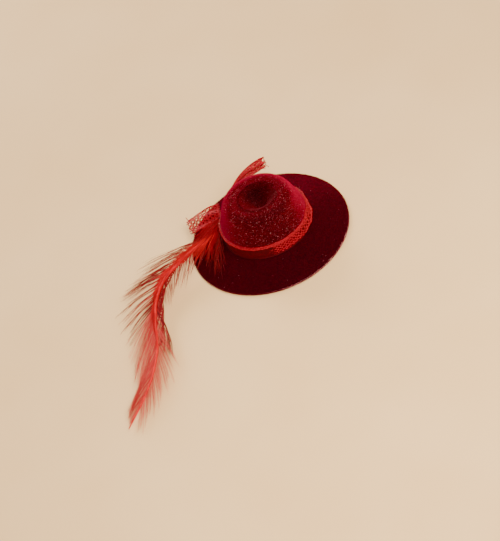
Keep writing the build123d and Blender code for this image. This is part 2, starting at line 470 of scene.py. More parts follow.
# Fibres of the crown: a lit copy of the brim's, painted brighter, with a few pale painted highlights and a
# stronger painted pink sheen along every curve.
crown_fibre, tree, principled = shader(
    "viscose_flock_crown_fibre", Roughness=0.5, Specular_IOR_Level=0.08,
    Sheen_Weight=0.3, Sheen_Roughness=0.35, Sheen_Tint=linear("#ff1c48"),
)
paint_by_tone(tree, principled, (
    (0.0, "#4a0007"), (0.6, "#7c0411"), (0.93, "#a00c22"), (0.98, "#c83c54"), (1.0, "#e07884"),
))
velvet(tree, principled, "#c80e48", 0.78, spread=(0.15, 0.55), pile=True)

# A few fibres lie flat and are painted pale pink: painted glints, so each shows as a bright speck.
painted_glint_fibre, tree, principled = shader(
    "viscose_flock_glint", Roughness=0.3, Specular_IOR_Level=0.6,
)
paint_by_tone(tree, principled, ((0.0, "#a02038"), (0.6, "#dc5c72"), (1.0, "#ffbec2")))

# Fibres at the edge of the brim: painted pale at the front right, a painted highlight where the rim catches
# the light.
edge_fibre, tree, principled = shader(
    "viscose_flock_edge_fibre", Roughness=0.6, Specular_IOR_Level=0.1,
)
paint_by_tone(tree, principled, (
    (0.0, "#34030a"), (0.5, "#681020"), (0.75, "#b05c70"), (1.0, "#f4c4c0"),
), highlight_side=(0.5, -0.86, 0.0))

# The moulded form under the flock is dull dyed board-like plastic, smooth on its inner face.
form_plastic, tree, principled = shader("moulded_form", Roughness=0.62, Specular_IOR_Level=0.4)
mottle(tree, principled, "#38060c", "#480b13", 1.6, 0.03)

# %% [markdown]
# ## The hat's section
# A moulded hat is one curve turned about an axis: over the crown's top, round the shoulder, down the
# leaning wall, straight down behind the ribbon, round the crease and out along the brim. Turning that
# curve is the natural way to make it. Every layer of the hat is the same curve moved outwards, so one
# function gives them all. The dent in the top is then pressed into the turned surface.

# %% The section
SHOULDER = 3.2                  # radii of the section's bends: at the crown's top,
BAND_BEND = 1.2                 # where the wall starts to lean,
CREASE = 0.9                    # and where it meets the brim
SETTLED = 0.6                   # the fibres' tips, not their ground, reach the crown's full height


def rounded(corners, radii, steps=9):
    """A polyline whose inner corners are rounded to the given radii."""
    points = [Vector(corners[0])]
    for index, radius in enumerate(radii, start=1):
        before, corner, after = (Vector(corners[index + step]) for step in (-1, 0, 1))
        back = (before - corner).normalized()
        ahead = (after - corner).normalized()
        reach = radius / tan(back.angle(ahead) / 2)
        start, end = corner + back * reach, corner + ahead * reach
        for step in range(steps + 1):
            share = step / steps
            points.append(start * (1 - share) ** 2 + corner * 2 * share * (1 - share) + end * share ** 2)
    points.append(Vector(corners[-1]))
    return points


def resampled(points, spacing):
    """Points at even spacing along a polyline."""
    lengths = np.cumsum([0.0] + [(b - a).length for a, b in zip(points, points[1:])])
    marks = np.linspace(0.0, lengths[-1], max(2, round(lengths[-1] / spacing) + 1))
    columns = [np.interp(marks, lengths, [point[axis] for point in points]) for axis in (0, 1)]
    return list(zip(*columns))


def brim_height(radius, layer):
    """Height of the brim's face that lies `layer` above its underside."""
    return layer / cos(BRIM_SLOPE) - (radius - opening_radius) * tan(BRIM_SLOPE)


def section(layer, spacing):
    """The hat's section, from the axis at the top to the rim, `layer` outside the inner face."""
    wall = opening_radius + layer
    lean_start = opening_depth + layer * tan(CROWN_LEAN / 2)
    top = crown_top - SETTLED - WALL + layer
    corner = wall - (top - lean_start) * tan(CROWN_LEAN)
    corners = [
        (0.0, top), (corner, top), (wall, lean_start),
        (wall, brim_height(wall, layer)), (rim_radius, brim_height(rim_radius, layer)),
    ]
    radii = [SHOULDER - WALL + layer, BAND_BEND, CREASE + (WALL - layer) * 0.6]
    return resampled(rounded(corners, radii), spacing)


# %% [markdown]
# The dent was pressed by hand with a rounded tool, steepest at the back, and it runs out gently to the
# front. Pressing it pushed the crown out a little on the right. The brim is not dead flat either: it lifts
# and dips by a tenth of a millimetre as it goes round, but never below the table.

# %% The dent and the brim's waviness
DENT_CENTRE = Vector((0.6, -0.3))
DENT_RADIUS = 5.1
DENT_DEPTH = 4.2
DENT_STEEPEST = Vector((-0.30, 0.95))
GENTLE, STEEP = 1.9, 0.55       # powers of the dent's profile on its gentle and its steep side
DENT_FADE = 2.0                 # the dent fades in over this height under the shoulder
FULLNESS = 0.15                 # the pressed crown bellies out this far on the right
FULLEST = radians(15.0)
BRIM_WAVE = 0.56                # depth of the brim's unevenness before it runs out at both edges
WAVES_PER_MM = 0.11
crown_shoulder = crown_top - SHOULDER


def dent_depth(x, y):
    """How far the top is pressed down at a point, in millimetres."""
    away = (Vector((x, y)) - DENT_CENTRE) / DENT_RADIUS
    reach = away.length
    if reach >= 1.0:
        return 0.0
    steep = 0.5 + 0.5 * (away.normalized().dot(DENT_STEEPEST) if reach > 0.01 else 0.0)
    steep = 0.5 + (steep - 0.5) * min(1.0, reach * 2.0)
    return DENT_DEPTH * (1.0 - reach * reach) ** (GENTLE + (STEEP - GENTLE) * steep)


def shaped(x, y, z):
    """Presses the dent and adds the small unevenness of the brim to a point of the turned surface."""
    radius = (x * x + y * y) ** 0.5
    if z > band_top and 1.0 < radius < band_radius:
        turn = np.arctan2(y, x) - FULLEST
        rise = sin(pi * min(1.0, (z - band_top) / (crown_top + 0.5 - band_top))) ** 0.6
        swell = FULLNESS * max(0.0, cos(turn)) ** 1.5 * rise * min(1.0, radius / 8.0) ** 2
        x, y = x * (1.0 + swell / radius), y * (1.0 + swell / radius)
    if z > crown_shoulder - DENT_FADE and radius < opening_radius:
        z -= dent_depth(x, y) * min(1.0, (z - crown_shoulder + DENT_FADE) / DENT_FADE)
    if radius > band_radius:
        out = (radius - band_radius) / (rim_radius - band_radius)
        wave = noise.noise(Vector((x, y, 0.0)) * WAVES_PER_MM) * BRIM_WAVE
        z = max(z + wave * out * (1.0 - out), table_height)
    return Vector((x, y, z))


def turned_points(outline, around):
    """Turns each point of a section about the axis and shapes the ring that it makes."""
    angles = [2 * pi * step / around for step in range(around)]
    return [shaped(r * cos(angle), r * sin(angle), z) for r, z in outline for angle in angles]


def turned(name, outline, around=360):
    """Turns a closed section, which starts and ends on the axis, into a mesh with the dent pressed in."""
    rings = outline[1:-1]
    points = [shaped(0.0, 0.0, outline[0][1])] + turned_points(rings, around)
    last, end = len(points), len(points) - around
    points.append(shaped(0.0, 0.0, outline[-1][1]))
    faces = quads(len(rings), around, first=1)
    for step in range(around):
        right = (step + 1) % around
        faces += [(0, 1 + step, 1 + right), (end + step, last, end + right)]
    return make_object(name, points, faces, smooth=True)


# %% [markdown]
# ## Form
# The form is a closed shell: its outer face, a cut edge at the rim, and its inner face. The edge is
# where the sheet was trimmed, so it is flat underneath and the hat stands on it. The section therefore
# goes out along one layer, round the edge and back along the other. Nothing but the form shows inside
# the crown, where it is bare.

# %% Form shell
EDGE_RADIUS = rim_radius - 0.3  # the form is trimmed here, and the flock wraps round its cut edge
FORM_SPACING = 0.3


def shell_section(outer_layer, inner_layer, limit, spacing, inner_limit=None, edge=()):
    """A closed section between two layers, out to a radius, resting no lower than the table."""
    inner_limit = inner_limit or limit
    outer = [point for point in section(outer_layer, spacing) if point[0] <= limit]
    inner = [point for point in section(inner_layer, spacing) if point[0] <= inner_limit]
    inner = [(radius, max(height, table_height)) for radius, height in inner]
    return outer + list(edge) + inner[::-1]


form_shell = turned(
    "form_shell", shell_section(FORM, 0.0, EDGE_RADIUS, FORM_SPACING), around=240
)
form_shell.data.materials.append(form_plastic)
print("form", len(form_shell.data.polygons), "faces")

# %% [markdown]
# ## Flock coats
# The upper coat covers the crown, the brim and the cut edge. It is a closed skin whose outer face stops
# short of the fibres' tips, because the fibres stand up from it. The under coat lies below the brim. It
# leaves a bare ring round the opening, and it ends before the flat edge that the hat stands on.

# %% Flock skins
SKIN = 0.2                      # depth of the matted foot of the flock
SUNK = 0.02                     # the coats' inner faces lie this far inside the form's face
SKIN_SPACING = 0.24
SKIN_GRAIN = 0.7                # size of the coats' fine lumps
UNDER_INNER = opening_radius + 0.35
UNDER_OUTER = 18.6
UNDER_FIBRES = 17.9             # fibres end here, so that none reaches the table


def uneven(made, grain_mm, height_mm):
    """Moves every point of a mesh along its normal by a fine noise."""
    vertices = made.data.vertices
    places, normals = np.empty(len(vertices) * 3), np.empty(len(vertices) * 3)
    vertices.foreach_get("co", places)
    vertices.foreach_get("normal", normals)
    grain = places.reshape(-1, 3) / (grain_mm * MM)
    heights = [noise.noise(Vector(place)) * height_mm * MM for place in grain]
    places += normals * np.repeat(heights, 3)
    vertices.foreach_set("co", places)
    made.data.update()


# The coat's outline at the rim, from the upper face round to the flat edge underneath.
edge_top = brim_height(rim_radius, FORM + SKIN)
wrapped_edge = [
    (rim_radius - 0.10, edge_top - 0.02), (rim_radius - 0.04, edge_top - 0.12),
    (rim_radius - 0.02, (edge_top + table_height) / 2), (rim_radius - 0.06, table_height + 0.16),
    (rim_radius - 0.16, table_height + 0.08), (rim_radius - 0.26, table_height + 0.12),
]
upper_skin = turned("flock_upper_skin", shell_section(
    FORM + SKIN, FORM + SUNK, rim_radius - 0.2, SKIN_SPACING, EDGE_RADIUS + SUNK, wrapped_edge
))
uneven(upper_skin, SKIN_GRAIN, 0.05)
upper_skin.data.materials.append(flock_ground)

under_radii = np.linspace(UNDER_INNER, UNDER_OUTER, 30)
under_section = [(radius, brim_height(radius, -SKIN)) for radius in under_radii[::-1]]
under_section += [(radius, brim_height(radius, -SUNK)) for radius in under_radii]
UNDER_AROUND = 300
under_skin = make_object(
    "flock_under_skin", turned_points(under_section, UNDER_AROUND),
    quads(len(under_section), UNDER_AROUND, closed=True), smooth=True,
)
uneven(under_skin, SKIN_GRAIN, 0.04)
under_skin.data.materials.append(flock_ground)
print("skins", len(upper_skin.data.polygons), len(under_skin.data.polygons), "faces")

# %% [markdown]
# ## Flock fibres
# Electrostatic flocking throws fibres end-on at a glued surface. The tree does the same: it scatters
# points over a surface, stands a thin cone on each along the normal, and leans each one a little at
# random. Each fibre keeps a random number called tone, which the material turns to a colour.

# %% Fibre tree
fibres, given = start_tree(
    "standing_fibres", density=1.0, fibre_length=0.001, fibre_width=0.0001, lean=0.5, seed=1
)
spread = add(fibres, "GeometryNodeDistributePointsOnFaces", {
    "Mesh": given["Geometry"], "Density": given["Density"], "Seed": given["Seed"],
}, distribute_method="RANDOM")
number = add(fibres, "FunctionNodeRandomValue", {"Seed": given["Seed"]}, data_type="FLOAT")
with_tone = kept(fibres, spread.outputs["Points"], "tone", number.outputs[1])
with_pile = kept(fibres, with_tone, "pile", spread.outputs["Normal"], "FLOAT_VECTOR")
foot_radius = maths(fibres, "MULTIPLY", given["Fibre Width"], 0.8)
fibre = add(fibres, "GeometryNodeMeshCone", {
    "Vertices": 3, "Radius Top": 0.0, "Radius Bottom": foot_radius, "Depth": given["Fibre Length"],
}, fill_type="NONE")
least = maths(fibres, "MULTIPLY", given["Lean"], -1.0)
low = add(fibres, "ShaderNodeCombineXYZ", {"X": least, "Y": least})
high = add(fibres, "ShaderNodeCombineXYZ", {"X": given["Lean"], "Y": given["Lean"], "Z": 2 * pi})
tilt = add(fibres, "FunctionNodeRandomValue", {
    0: low.outputs[0], 1: high.outputs[0], "Seed": given["Seed"],
}, data_type="FLOAT_VECTOR")
leaning = add(fibres, "FunctionNodeEulerToRotation", {0: tilt.outputs[0]})
turned_fibre = add(fibres, "FunctionNodeRotateRotation", {
    0: spread.outputs["Rotation"], 1: leaning.outputs[0],
}, rotation_space="LOCAL")
size = add(fibres, "FunctionNodeRandomValue", {
    0: (0.8, 0.8, 0.55), 1: (1.2, 1.2, 1.15), "Seed": given["Seed"],
}, data_type="FLOAT_VECTOR")
standing = add(fibres, "GeometryNodeInstanceOnPoints", {
    "Points": with_pile, "Instance": fibre.outputs[0],
    "Rotation": turned_fibre.outputs[0], "Scale": size.outputs[0],
})
end_tree(fibres, standing.outputs[0], given["Material"], smooth=False)

# %% [markdown]
# The fibres grow on open surfaces taken from the coats' own section: the crown above the ribbon, the
# upper face of the brim, its rolled edge, and the under face. A few short ones lie flat, most of them on
# the crown round the dent, and are painted pale pink as painted glints.

# %% Fibres on crown, brim and underside
def open_surface(name, outline, around=240):
    """Turns an open section about the axis: the ground that the fibres grow on."""
    return make_object(name, turned_points(outline, around), quads(len(outline), around))


UNDENTED = 5.2                  # painted glints grow from this radius outwards, out of the dent's painted shade
ground = section(FORM + SKIN * 0.6, 0.2)
crown_ground = open_surface("crown_ground", [
    (max(radius, 0.02), height) for radius, height in ground if height > band_top - 0.3
])
undented_ground = open_surface("undented_ground", [
    point for point in ground if point[1] > band_top - 0.3 and point[0] > UNDENTED
])
brim_ground = open_surface("brim_ground", [
    point for point in ground if point[1] < band_bottom + 0.2 and point[0] < rim_radius - 0.1
])
edge_ground = open_surface("edge_ground", wrapped_edge[:3])
under_ground = open_surface("under_ground", [
    point for point in under_section[:len(under_radii)] if point[0] < UNDER_FIBRES
], around=200)

FIBRE = dict(fibre_length=0.46 * MM, fibre_width=0.055 * MM)
PER_SQUARE_MM = 1.0 / (MM * MM)
crown_fibres = run_tree("flock_crown_fibres", crown_ground, fibres, crown_fibre,
                        density=74 * PER_SQUARE_MM, lean=0.55, seed=3, **FIBRE)
brim_fibres = run_tree("flock_brim_fibres", brim_ground, fibres, flock_fibre,
                       density=52 * PER_SQUARE_MM, lean=0.55, seed=5, **FIBRE)
edge_fibres = run_tree("flock_edge_fibres", edge_ground, fibres, edge_fibre,
                       density=110 * PER_SQUARE_MM, lean=0.9, seed=7,
                       fibre_length=0.30 * MM, fibre_width=0.06 * MM)
under_fibres = run_tree("flock_under_fibres", under_ground, fibres, flock_fibre,
                        density=34 * PER_SQUARE_MM, lean=0.55, seed=9,
                        fibre_length=0.26 * MM, fibre_width=0.055 * MM)
LAID = dict(fibre_length=0.25 * MM, fibre_width=0.125 * MM, lean=1.35)
glints = join("flock_laid_fibres", [
    run_tree("crown_glints", undented_ground, fibres, painted_glint_fibre,
             density=2.7 * PER_SQUARE_MM, seed=13, **LAID),
    run_tree("brim_glints", brim_ground, fibres, painted_glint_fibre,
             density=0.16 * PER_SQUARE_MM, seed=15, **LAID),
])
for used in (crown_ground, undented_ground, brim_ground, edge_ground, under_ground):
    bpy.data.objects.remove(used)

# %% [markdown]
# ## Ribbon
# The ribbon is an open diamond net of stiff dyed nylon, the kind sold as miniature hat veiling. It is
# folded along its length: a doubled edge makes a thick bright roll at the top, smoother folded layers
# lie under it, darker partly as folded layers and partly as painted shade under the roll, and the open
# net shows where it bulges. The thread is satin and a little see-through.

# %% Ribbon materials
# Dyed nylon thread: satin, with some light passing into it.
net_thread, tree, principled = shader(
    "nylon_net_thread", Roughness=0.5, Specular_IOR_Level=0.22, Subsurface_Weight=0.15,
    Subsurface_Radius=(0.6 * MM, 0.08 * MM, 0.05 * MM), Subsurface_Scale=1.0,
)
mottle(tree, principled, "#4c000a", "#e0062c", 0.32, 0.02)

# The folded layers seen as one: darker, partly as folded layers and partly as painted shade under the rolled
# edge; smooth, with the net's threads only as a faint relief.
folded_and_shaded_net, tree, principled = shader(
    "folded_net_layers", Roughness=0.7, Specular_IOR_Level=0.08, Sheen_Weight=0.2,
    Sheen_Tint=linear("#ff1028"),
)
mottle(tree, principled, "#2a0006", "#56020d", 0.45, 0.10)

# %% [markdown]
# A net is thread and knots. The geometry tree turns each drawn strand into a thread of uneven thickness
# and puts a small knot at every crossing.

# %% Net tree
nets, given = start_tree("knotted_net", thread=0.0001, knot=0.0001, seed=1)
strands = add(nets, "GeometryNodeMeshToCurve", {0: given["Geometry"]})
uneven_thread = add(nets, "FunctionNodeRandomValue", {2: 0.75, 3: 1.2, "Seed": given["Seed"]},
                    data_type="FLOAT")
thickness = maths(nets, "MULTIPLY", given["Thread"], uneven_thread.outputs[1])
threads = thread_along(nets, strands.outputs[0], thickness, 5)
is_crossing = add(nets, "FunctionNodeCompare", {0: recalled(nets, "crossing"), 1: 0.5},
                  data_type="FLOAT", operation="GREATER_THAN")
lump = add(nets, "GeometryNodeMeshIcoSphere", {0: given["Knot"], 1: 2})
lumps = add(nets, "GeometryNodeInstanceOnPoints", {
    0: given["Geometry"], 1: is_crossing.outputs[0], 2: lump.outputs[0],
})
both = add(nets, "GeometryNodeJoinGeometry")
nets.links.new(threads, both.inputs[0])
nets.links.new(lumps.outputs[0], both.inputs[0])
end_tree(nets, both.outputs[0], given["Material"])

# %% [markdown]
# The net is drawn flat first, as rows of crossing strands, and a function then places each point in
# space, so one drawing serves the band and both ends. Strands bow between their crossings, because the
# net was knotted on pins and keeps that shape. Round the crown it bellies out where the ribbon was not
# pulled tight, and elsewhere it lies folded flat.

# %% The flat net and how it is placed
CELL_LONG = 1.15
CELL_WIDE = 0.9
BOW = 0.10
KNOTTED_OFF = 0.05              # the crossings stray this far from even rows
FRAYED_THREADS = 2              # loose threads at each crossing of a cut end
KNOT_AZIMUTH = radians(138.0)
SLACK_SIDE = radians(-25.0)     # where the band was not pulled tight
RIBBON = 0.45                   # thickness of the folded ribbon
HEM = 0.12                      # the net starts this far above the ribbon's lower edge
NET_SHARE = 0.93                # and takes up this share of its width
TIGHT, LOOSE = 0.12, 0.85       # how far the net bellies out where it is tight, and how much more where slack
UNEVEN_PULL = 0.10
OPEN_FROM, OPEN_FULLY = 0.10, 0.80      # slack at which the net starts to show and shows fully
WAVE, LOOSE_THREADS = 0.25, 0.16        # how far the net waves, and how far single threads stray
OUTSIDE_FOLDS, TUCKED = 0.30, 0.04      # where it lies beside the folds when open, and when folded under
band_length = 2 * pi * band_radius
band_width = band_top - band_bottom


def drawn_net(name, length, width, place, closed=False, frayed=0.0, seed=0):
    """Rows of crossing strands over `length` by `width`, placed by a function of the two."""
    random = np.random.default_rng(seed)
    columns = max(2, round(length / CELL_LONG)) * 2
    rows = max(2, round(width / CELL_WIDE)) * 2
    points, edges, crossings, index_of = [], [], [], {}

    def point_at(column, row):
        key = (column % columns if closed else column, row)
        if key not in index_of:
            index_of[key] = len(points)
            jitter = random.normal(0.0, KNOTTED_OFF, 2)
            points.append(place(key[0] / columns * length + jitter[0],
                                row / rows * width + jitter[1] * (0 < row < rows)))
            crossings.append(1.0)
        return index_of[key]

    def strand(start, end, middle):
        edges.append((start, len(points)))
        points.append(middle)
        crossings.append(0.0)
        edges.append((len(points) - 1, end))

    for column in range(columns):
        for row in range(rows + 1):
            if (column + row) % 2:
                continue
            for rise in (1, -1):
                if 0 <= row + rise <= rows:
                    a, b = (column + 0.5) / columns * length, (row + rise / 2) / rows * width
                    strand(point_at(column, row), point_at(column + 1, row + rise),
                           place(a, b + BOW * rise * (1 if column % 2 else -1)))
            if row in (0, rows) and column + 2 <= columns:
                strand(point_at(column, row), point_at(column + 2, row),
                       place((column + 1) / columns * length, row / rows * width))
    if frayed:
        for row in range(rows + 1):
            if (columns + row) % 2 == 0:
                for _ in range(FRAYED_THREADS):
                    start = point_at(columns, row)
                    reach = frayed * random.uniform(0.4, 1.0)
                    swing = random.normal(0.0, 0.45)
                    for share in (0.34, 0.67, 1.0):
                        edges.append((start, len(points)))
                        start = len(points)
                        points.append(place(length + reach * share,
                                            row / rows * width + swing * share * share))
                        crossings.append(0.0)
    made = make_object(name, points, edges=edges)
    made.data.attributes.new("crossing", "FLOAT", "POINT").data.foreach_set("value", crossings)
    return made


def round_band(along, height, standoff):
    """A point `standoff` outside the band's inner face, `along` from the knot towards the front."""
    turn = KNOT_AZIMUTH + along / band_radius
    radius = band_radius - RIBBON + standoff
    return Vector((radius * cos(turn), radius * sin(turn), height))


def slack(along):
    """The cosine of the angle between a place on the band and the side where it is slack."""
    return cos(KNOT_AZIMUTH + along / band_radius - SLACK_SIDE)


def bulge(along):
    """How far the ribbon stands off the crown: most at the front right, where it was not pulled tight."""
    uneven_pull = UNEVEN_PULL * noise.noise(Vector((along * 0.35, 3.0, 0.0)))
    return TIGHT + LOOSE * max(0.0, slack(along)) ** 5 + uneven_pull


def openness(along):
    """One where the open net lies outside the folds, and zero where it is folded flat under them."""
    return min(1.0, max(0.0, (slack(along) - OPEN_FROM) / (OPEN_FULLY - OPEN_FROM)))


def on_band(a, b):
    """Places the flat net on the band, bellied out between its two edges, most below the middle."""
    belly = sin(pi * min(1.0, max(0.0, b / band_width)) ** 0.8)
    wave = WAVE * noise.noise(Vector((a * 0.6, b * 0.9, 7.0)))
    shown = openness(a)
    loose = LOOSE_THREADS * noise.noise(Vector((a * 1.1, b * 1.6, 2.0))) * (shown > 0.0)
    standoff = OUTSIDE_FOLDS * shown - TUCKED + (bulge(a) * belly + wave) * shown + loose
    return round_band(a, band_bottom + HEM + b * NET_SHARE, standoff)


band_drawing = drawn_net("band_drawing", band_length, band_width, on_band, closed=True, seed=11)
band_net = run_tree("ribbon_net", band_drawing, nets, net_thread,
                    thread=0.20 * MM, knot=0.15 * MM, seed=11)
bpy.data.objects.remove(band_drawing)

# %% [markdown]
# The folded layers behind the net are one soft strip. Its section is a rounded lens, and it waves a
# little along its length, as a pulled and folded ribbon does.

# %% Folded layers of the band
AROUND_SECTION = 14
LENS = 0.22                     # how far the folded layers stand out in the middle
FOLDS_INSET = 0.06              # their edges lie this far inside the ribbon's lower edge
FOLDS_SHORT = 0.5               # and they are this much narrower than it, to leave room for the roll
PLEAT = 0.05
PLEATS = 17.0                   # angle that the pleats run through from edge to edge
FLATTENED = 0.8                 # how much flatter they lie under the open net


def folded_strip(name, stations, around=600):
    """A closed ring whose section is a soft lens, with shallow pleats that run along it."""
    points = []
    for step in range(around):
        along = band_length * step / around
        for part in range(stations):
            angle = 2 * pi * part / stations
            height = 0.5 - 0.5 * cos(angle)
            pleat = PLEAT * sin(height * PLEATS + 2.0 * noise.noise(Vector((along * 0.4, 0.0, 0.0))))
            depth = LENS * max(0.0, sin(angle)) + pleat * (sin(angle) > 0)
            depth *= 1.0 - FLATTENED * openness(along)
            z = band_bottom + FOLDS_INSET + (band_width - FOLDS_SHORT) * height
            points.append(round_band(along, z, 0.03 + depth))
    return make_object(name, points, quads(around, stations, closed=True), smooth=True)


band_folds = folded_strip("ribbon_folds", AROUND_SECTION)
band_folds.data.materials.append(folded_and_shaded_net)

# %% [markdown]
# ## Ropes of thread
# A rolled net edge is a loose rope of threads. The tree copies a path several times, winds the copies
# round it, and gives each a thread. The same tree makes the rope of the knot.

# %% Rope tree
ropes, given = start_tree(
    "loose_rope", strands=6, turns=10.0, spread=0.0002, thread=0.0001, points=200, ragged=0.3
)
fine = add(ropes, "GeometryNodeResampleCurve", {0: given["Geometry"], 2: given["Points"]})
copies = add(ropes, "GeometryNodeDuplicateElements", {
    "Geometry": fine.outputs[0], "Amount": given["Strands"],
}, domain="SPLINE")
which = maths(ropes, "DIVIDE", copies.outputs["Duplicate Index"], given["Strands"])
position = add(ropes, "GeometryNodeSplineParameter").outputs["Factor"]
angle = maths(ropes, "MULTIPLY", maths(
    ropes, "MULTIPLY_ADD", position, given["Turns"], which), 2 * pi)
tangent = add(ropes, "GeometryNodeInputTangent").outputs[0]
normal = add(ropes, "GeometryNodeInputNormal").outputs[0]
across = vectors(ropes, "CROSS_PRODUCT", tangent, normal)
outward = vectors(ropes, "ADD", vectors(ropes, "SCALE", normal, maths(ropes, "COSINE", angle)),
                  vectors(ropes, "SCALE", across, maths(ropes, "SINE", angle)))


def straying(tree, place, grain_mm):
    """A smooth noise about zero, for threads and barbs that don't keep to their line."""
    rough = add(tree, "ShaderNodeTexNoise", {
        "Vector": place, "Scale": 1.0 / (grain_mm * MM), "Detail": 2.0,
    })
    return vectors(tree, "SUBTRACT", rough.outputs["Color"], (0.5, 0.5, 0.5))


place = add(ropes, "GeometryNodeInputPosition").outputs[0]
loosened = vectors(ropes, "ADD", outward, vectors(
    ropes, "SCALE", straying(ropes, place, 0.8), given["Ragged"]))
offset = vectors(ropes, "SCALE", loosened, given["Spread"])
moved = add(ropes, "GeometryNodeSetPosition", {0: copies.outputs[0], "Offset": offset})
end_tree(ropes, thread_along(ropes, moved.outputs[0], given["Thread"], 6), given["Material"])

# %% [markdown]
# ## Rolled edge, hem and knot
# The rolled edge runs round the top of the band and stands out with it. A thinner one is the hem at the
# foot. The knot is one rope tied in a trefoil, the plain overhand knot.

# %% Rolled edge and knot
EDGE_POINTS = 49
KNOT_POINTS = 25
KNOT_REACH = 0.36               # scale of the knot's loops, across and up
KNOT_DEPTH, KNOT_OFF = 0.42, 0.1        # how far they pass over and under, and stand off the band
edge_path = make_curve("edge_path", [
    round_band(a, band_top - 0.28 + 0.10 * noise.noise(Vector((a * 0.3, 1.0, 0.0))),
               0.36 + 0.22 * bulge(a))
    for a in np.linspace(0.0, band_length, EDGE_POINTS)
])
top_roll = run_tree("ribbon_top_roll", edge_path, ropes, net_thread,
                    strands=6, turns=13.0, spread=0.25 * MM, thread=0.115 * MM, points=700,
                    ragged=2.4)
hem_path = make_curve("hem_path", [
    round_band(a, band_bottom + 0.22, 0.30 + 0.3 * bulge(a))
    for a in np.linspace(0.0, band_length, EDGE_POINTS)
])
# The hem takes the folded layers' darker colour: partly painted shade at the foot of the band.
hem_roll = run_tree("ribbon_hem_roll", hem_path, ropes, folded_and_shaded_net,
                    strands=4, turns=18.0, spread=0.11 * MM, thread=0.16 * MM, points=500,
                    ragged=0.8)

knot_centre = (knot_low + knot_high) / 2
knot_out = Vector((cos(KNOT_AZIMUTH), sin(KNOT_AZIMUTH), 0.0))
knot_along = Vector((-sin(KNOT_AZIMUTH), cos(KNOT_AZIMUTH), 0.0))
knot_points = []
for turn in np.linspace(0.0, 2 * pi, KNOT_POINTS):
    loop = (sin(turn) + 2 * sin(2 * turn), cos(turn) - 2 * cos(2 * turn), -sin(3 * turn))
    knot_points.append(
        knot_centre + (knot_along * loop[0] + Vector((0, 0, 1)) * loop[1]) * KNOT_REACH
        + knot_out * (loop[2] * KNOT_DEPTH + KNOT_OFF)
    )
knot_path = make_curve("knot_path", knot_points)
knot_rope = run_tree("ribbon_knot_rope", knot_path, ropes, net_thread,
                     strands=8, turns=5.0, spread=0.34 * MM, thread=0.22 * MM, points=160,
                     ragged=0.9)
for used in (edge_path, hem_path, knot_path):
    bpy.data.objects.remove(used)

# %% [markdown]
# ## Ribbon ends
# Both ends spring from the knot. One runs back round the crown and lifts away from it. The other opens
# like a fan over the left edge of the brim. Each is the same flat net, placed along a smooth route, with
# its end cut and frayed.

# %% Ribbon ends
ROUTE_STEPS = 16                # points on the line between two points of a route
LAYER_SHIFT = 0.35              # each layer of an end starts this much further along,
LAYER_NARROWER = 0.08           # is narrower by this share,
LAYER_TURN = Vector((0.10, 0.05, 0.10))     # and is turned by this much about the route
RIPPLE_ACROSS, RIPPLE_ALONG = 9.0, 0.45     # angle of a ripple across the whole end, and for each mm along
RIPPLE_FREE = 3.0               # the ripple is full this far from the knot


def smooth_route(points):
    """A smooth line through the given points: its length, and a function that gives a place on it."""
    given_points = [Vector(point) for point in points]
    ends = [given_points[0] * 2 - given_points[1]] + given_points
    ends.append(given_points[-1] * 2 - given_points[-2])
    line = []
    for index in range(1, len(ends) - 2):
        before, start, end, after = ends[index - 1:index + 3]
        for t in np.linspace(0.0, 1.0, ROUTE_STEPS, endpoint=False):
            line.append(
                (start * 2 + (end - before) * t + (before * 2 - start * 5 + end * 4 - after) * t * t
                 + (start * 3 - before - end * 3 + after) * t ** 3) / 2
            )
    line.append(given_points[-1])
    lengths = np.cumsum([0.0] + [(b - a).length for a, b in zip(line, line[1:])])
    return lengths[-1], lambda along: Vector(
        np.interp(along, lengths, [point[axis] for point in line]) for axis in range(3)
    )


def tail_place(route, widths, across, ripple):
    """A placing function for a ribbon end: along its route, and across it in the given direction."""
    length, at = smooth_route(route)
    marks = np.linspace(0.0, length, len(widths))

    def place(a, b):
        share = b - 0.5
        reach = min(a, length)
        along = (at(min(reach + 0.2, length)) - at(max(reach - 0.2, 0.0))).normalized()
        flat = (across - along * across.dot(along)).normalized()
        face = along.cross(flat)
        width = np.interp(reach, marks, widths)
        fold = ripple * sin(share * RIPPLE_ACROSS + a * RIPPLE_ALONG) * min(1.0, a / RIPPLE_FREE)
        return at(reach) + along * (a - reach) + flat * share * width + face * fold

    return length, place


def tail(name, route, widths, across, ripple, cells, frayed, layers, seed):
    """A ribbon end, as a few layers of net that open and close with the width of the route."""
    width = cells * CELL_WIDE
    parts = []
    for layer in range(layers):
        turned_across = across + LAYER_TURN * (layer - (layers - 1) / 2)
        narrowed = [value * (1.0 - LAYER_NARROWER * layer) for value in widths]
        length, place = tail_place(route, narrowed, turned_across, ripple * (1.0 + 0.5 * layer))
        shift = LAYER_SHIFT * layer
        drawing = drawn_net(
            f"{name}_drawing", length, width,
            lambda a, b: place(a + shift, b / width), frayed=frayed, seed=seed + layer,
        )
        parts.append(run_tree(f"{name}_{layer}", drawing, nets, net_thread,
                              thread=0.20 * MM, knot=0.13 * MM, seed=seed + layer))
        bpy.data.objects.remove(drawing)
    return join(name, parts)


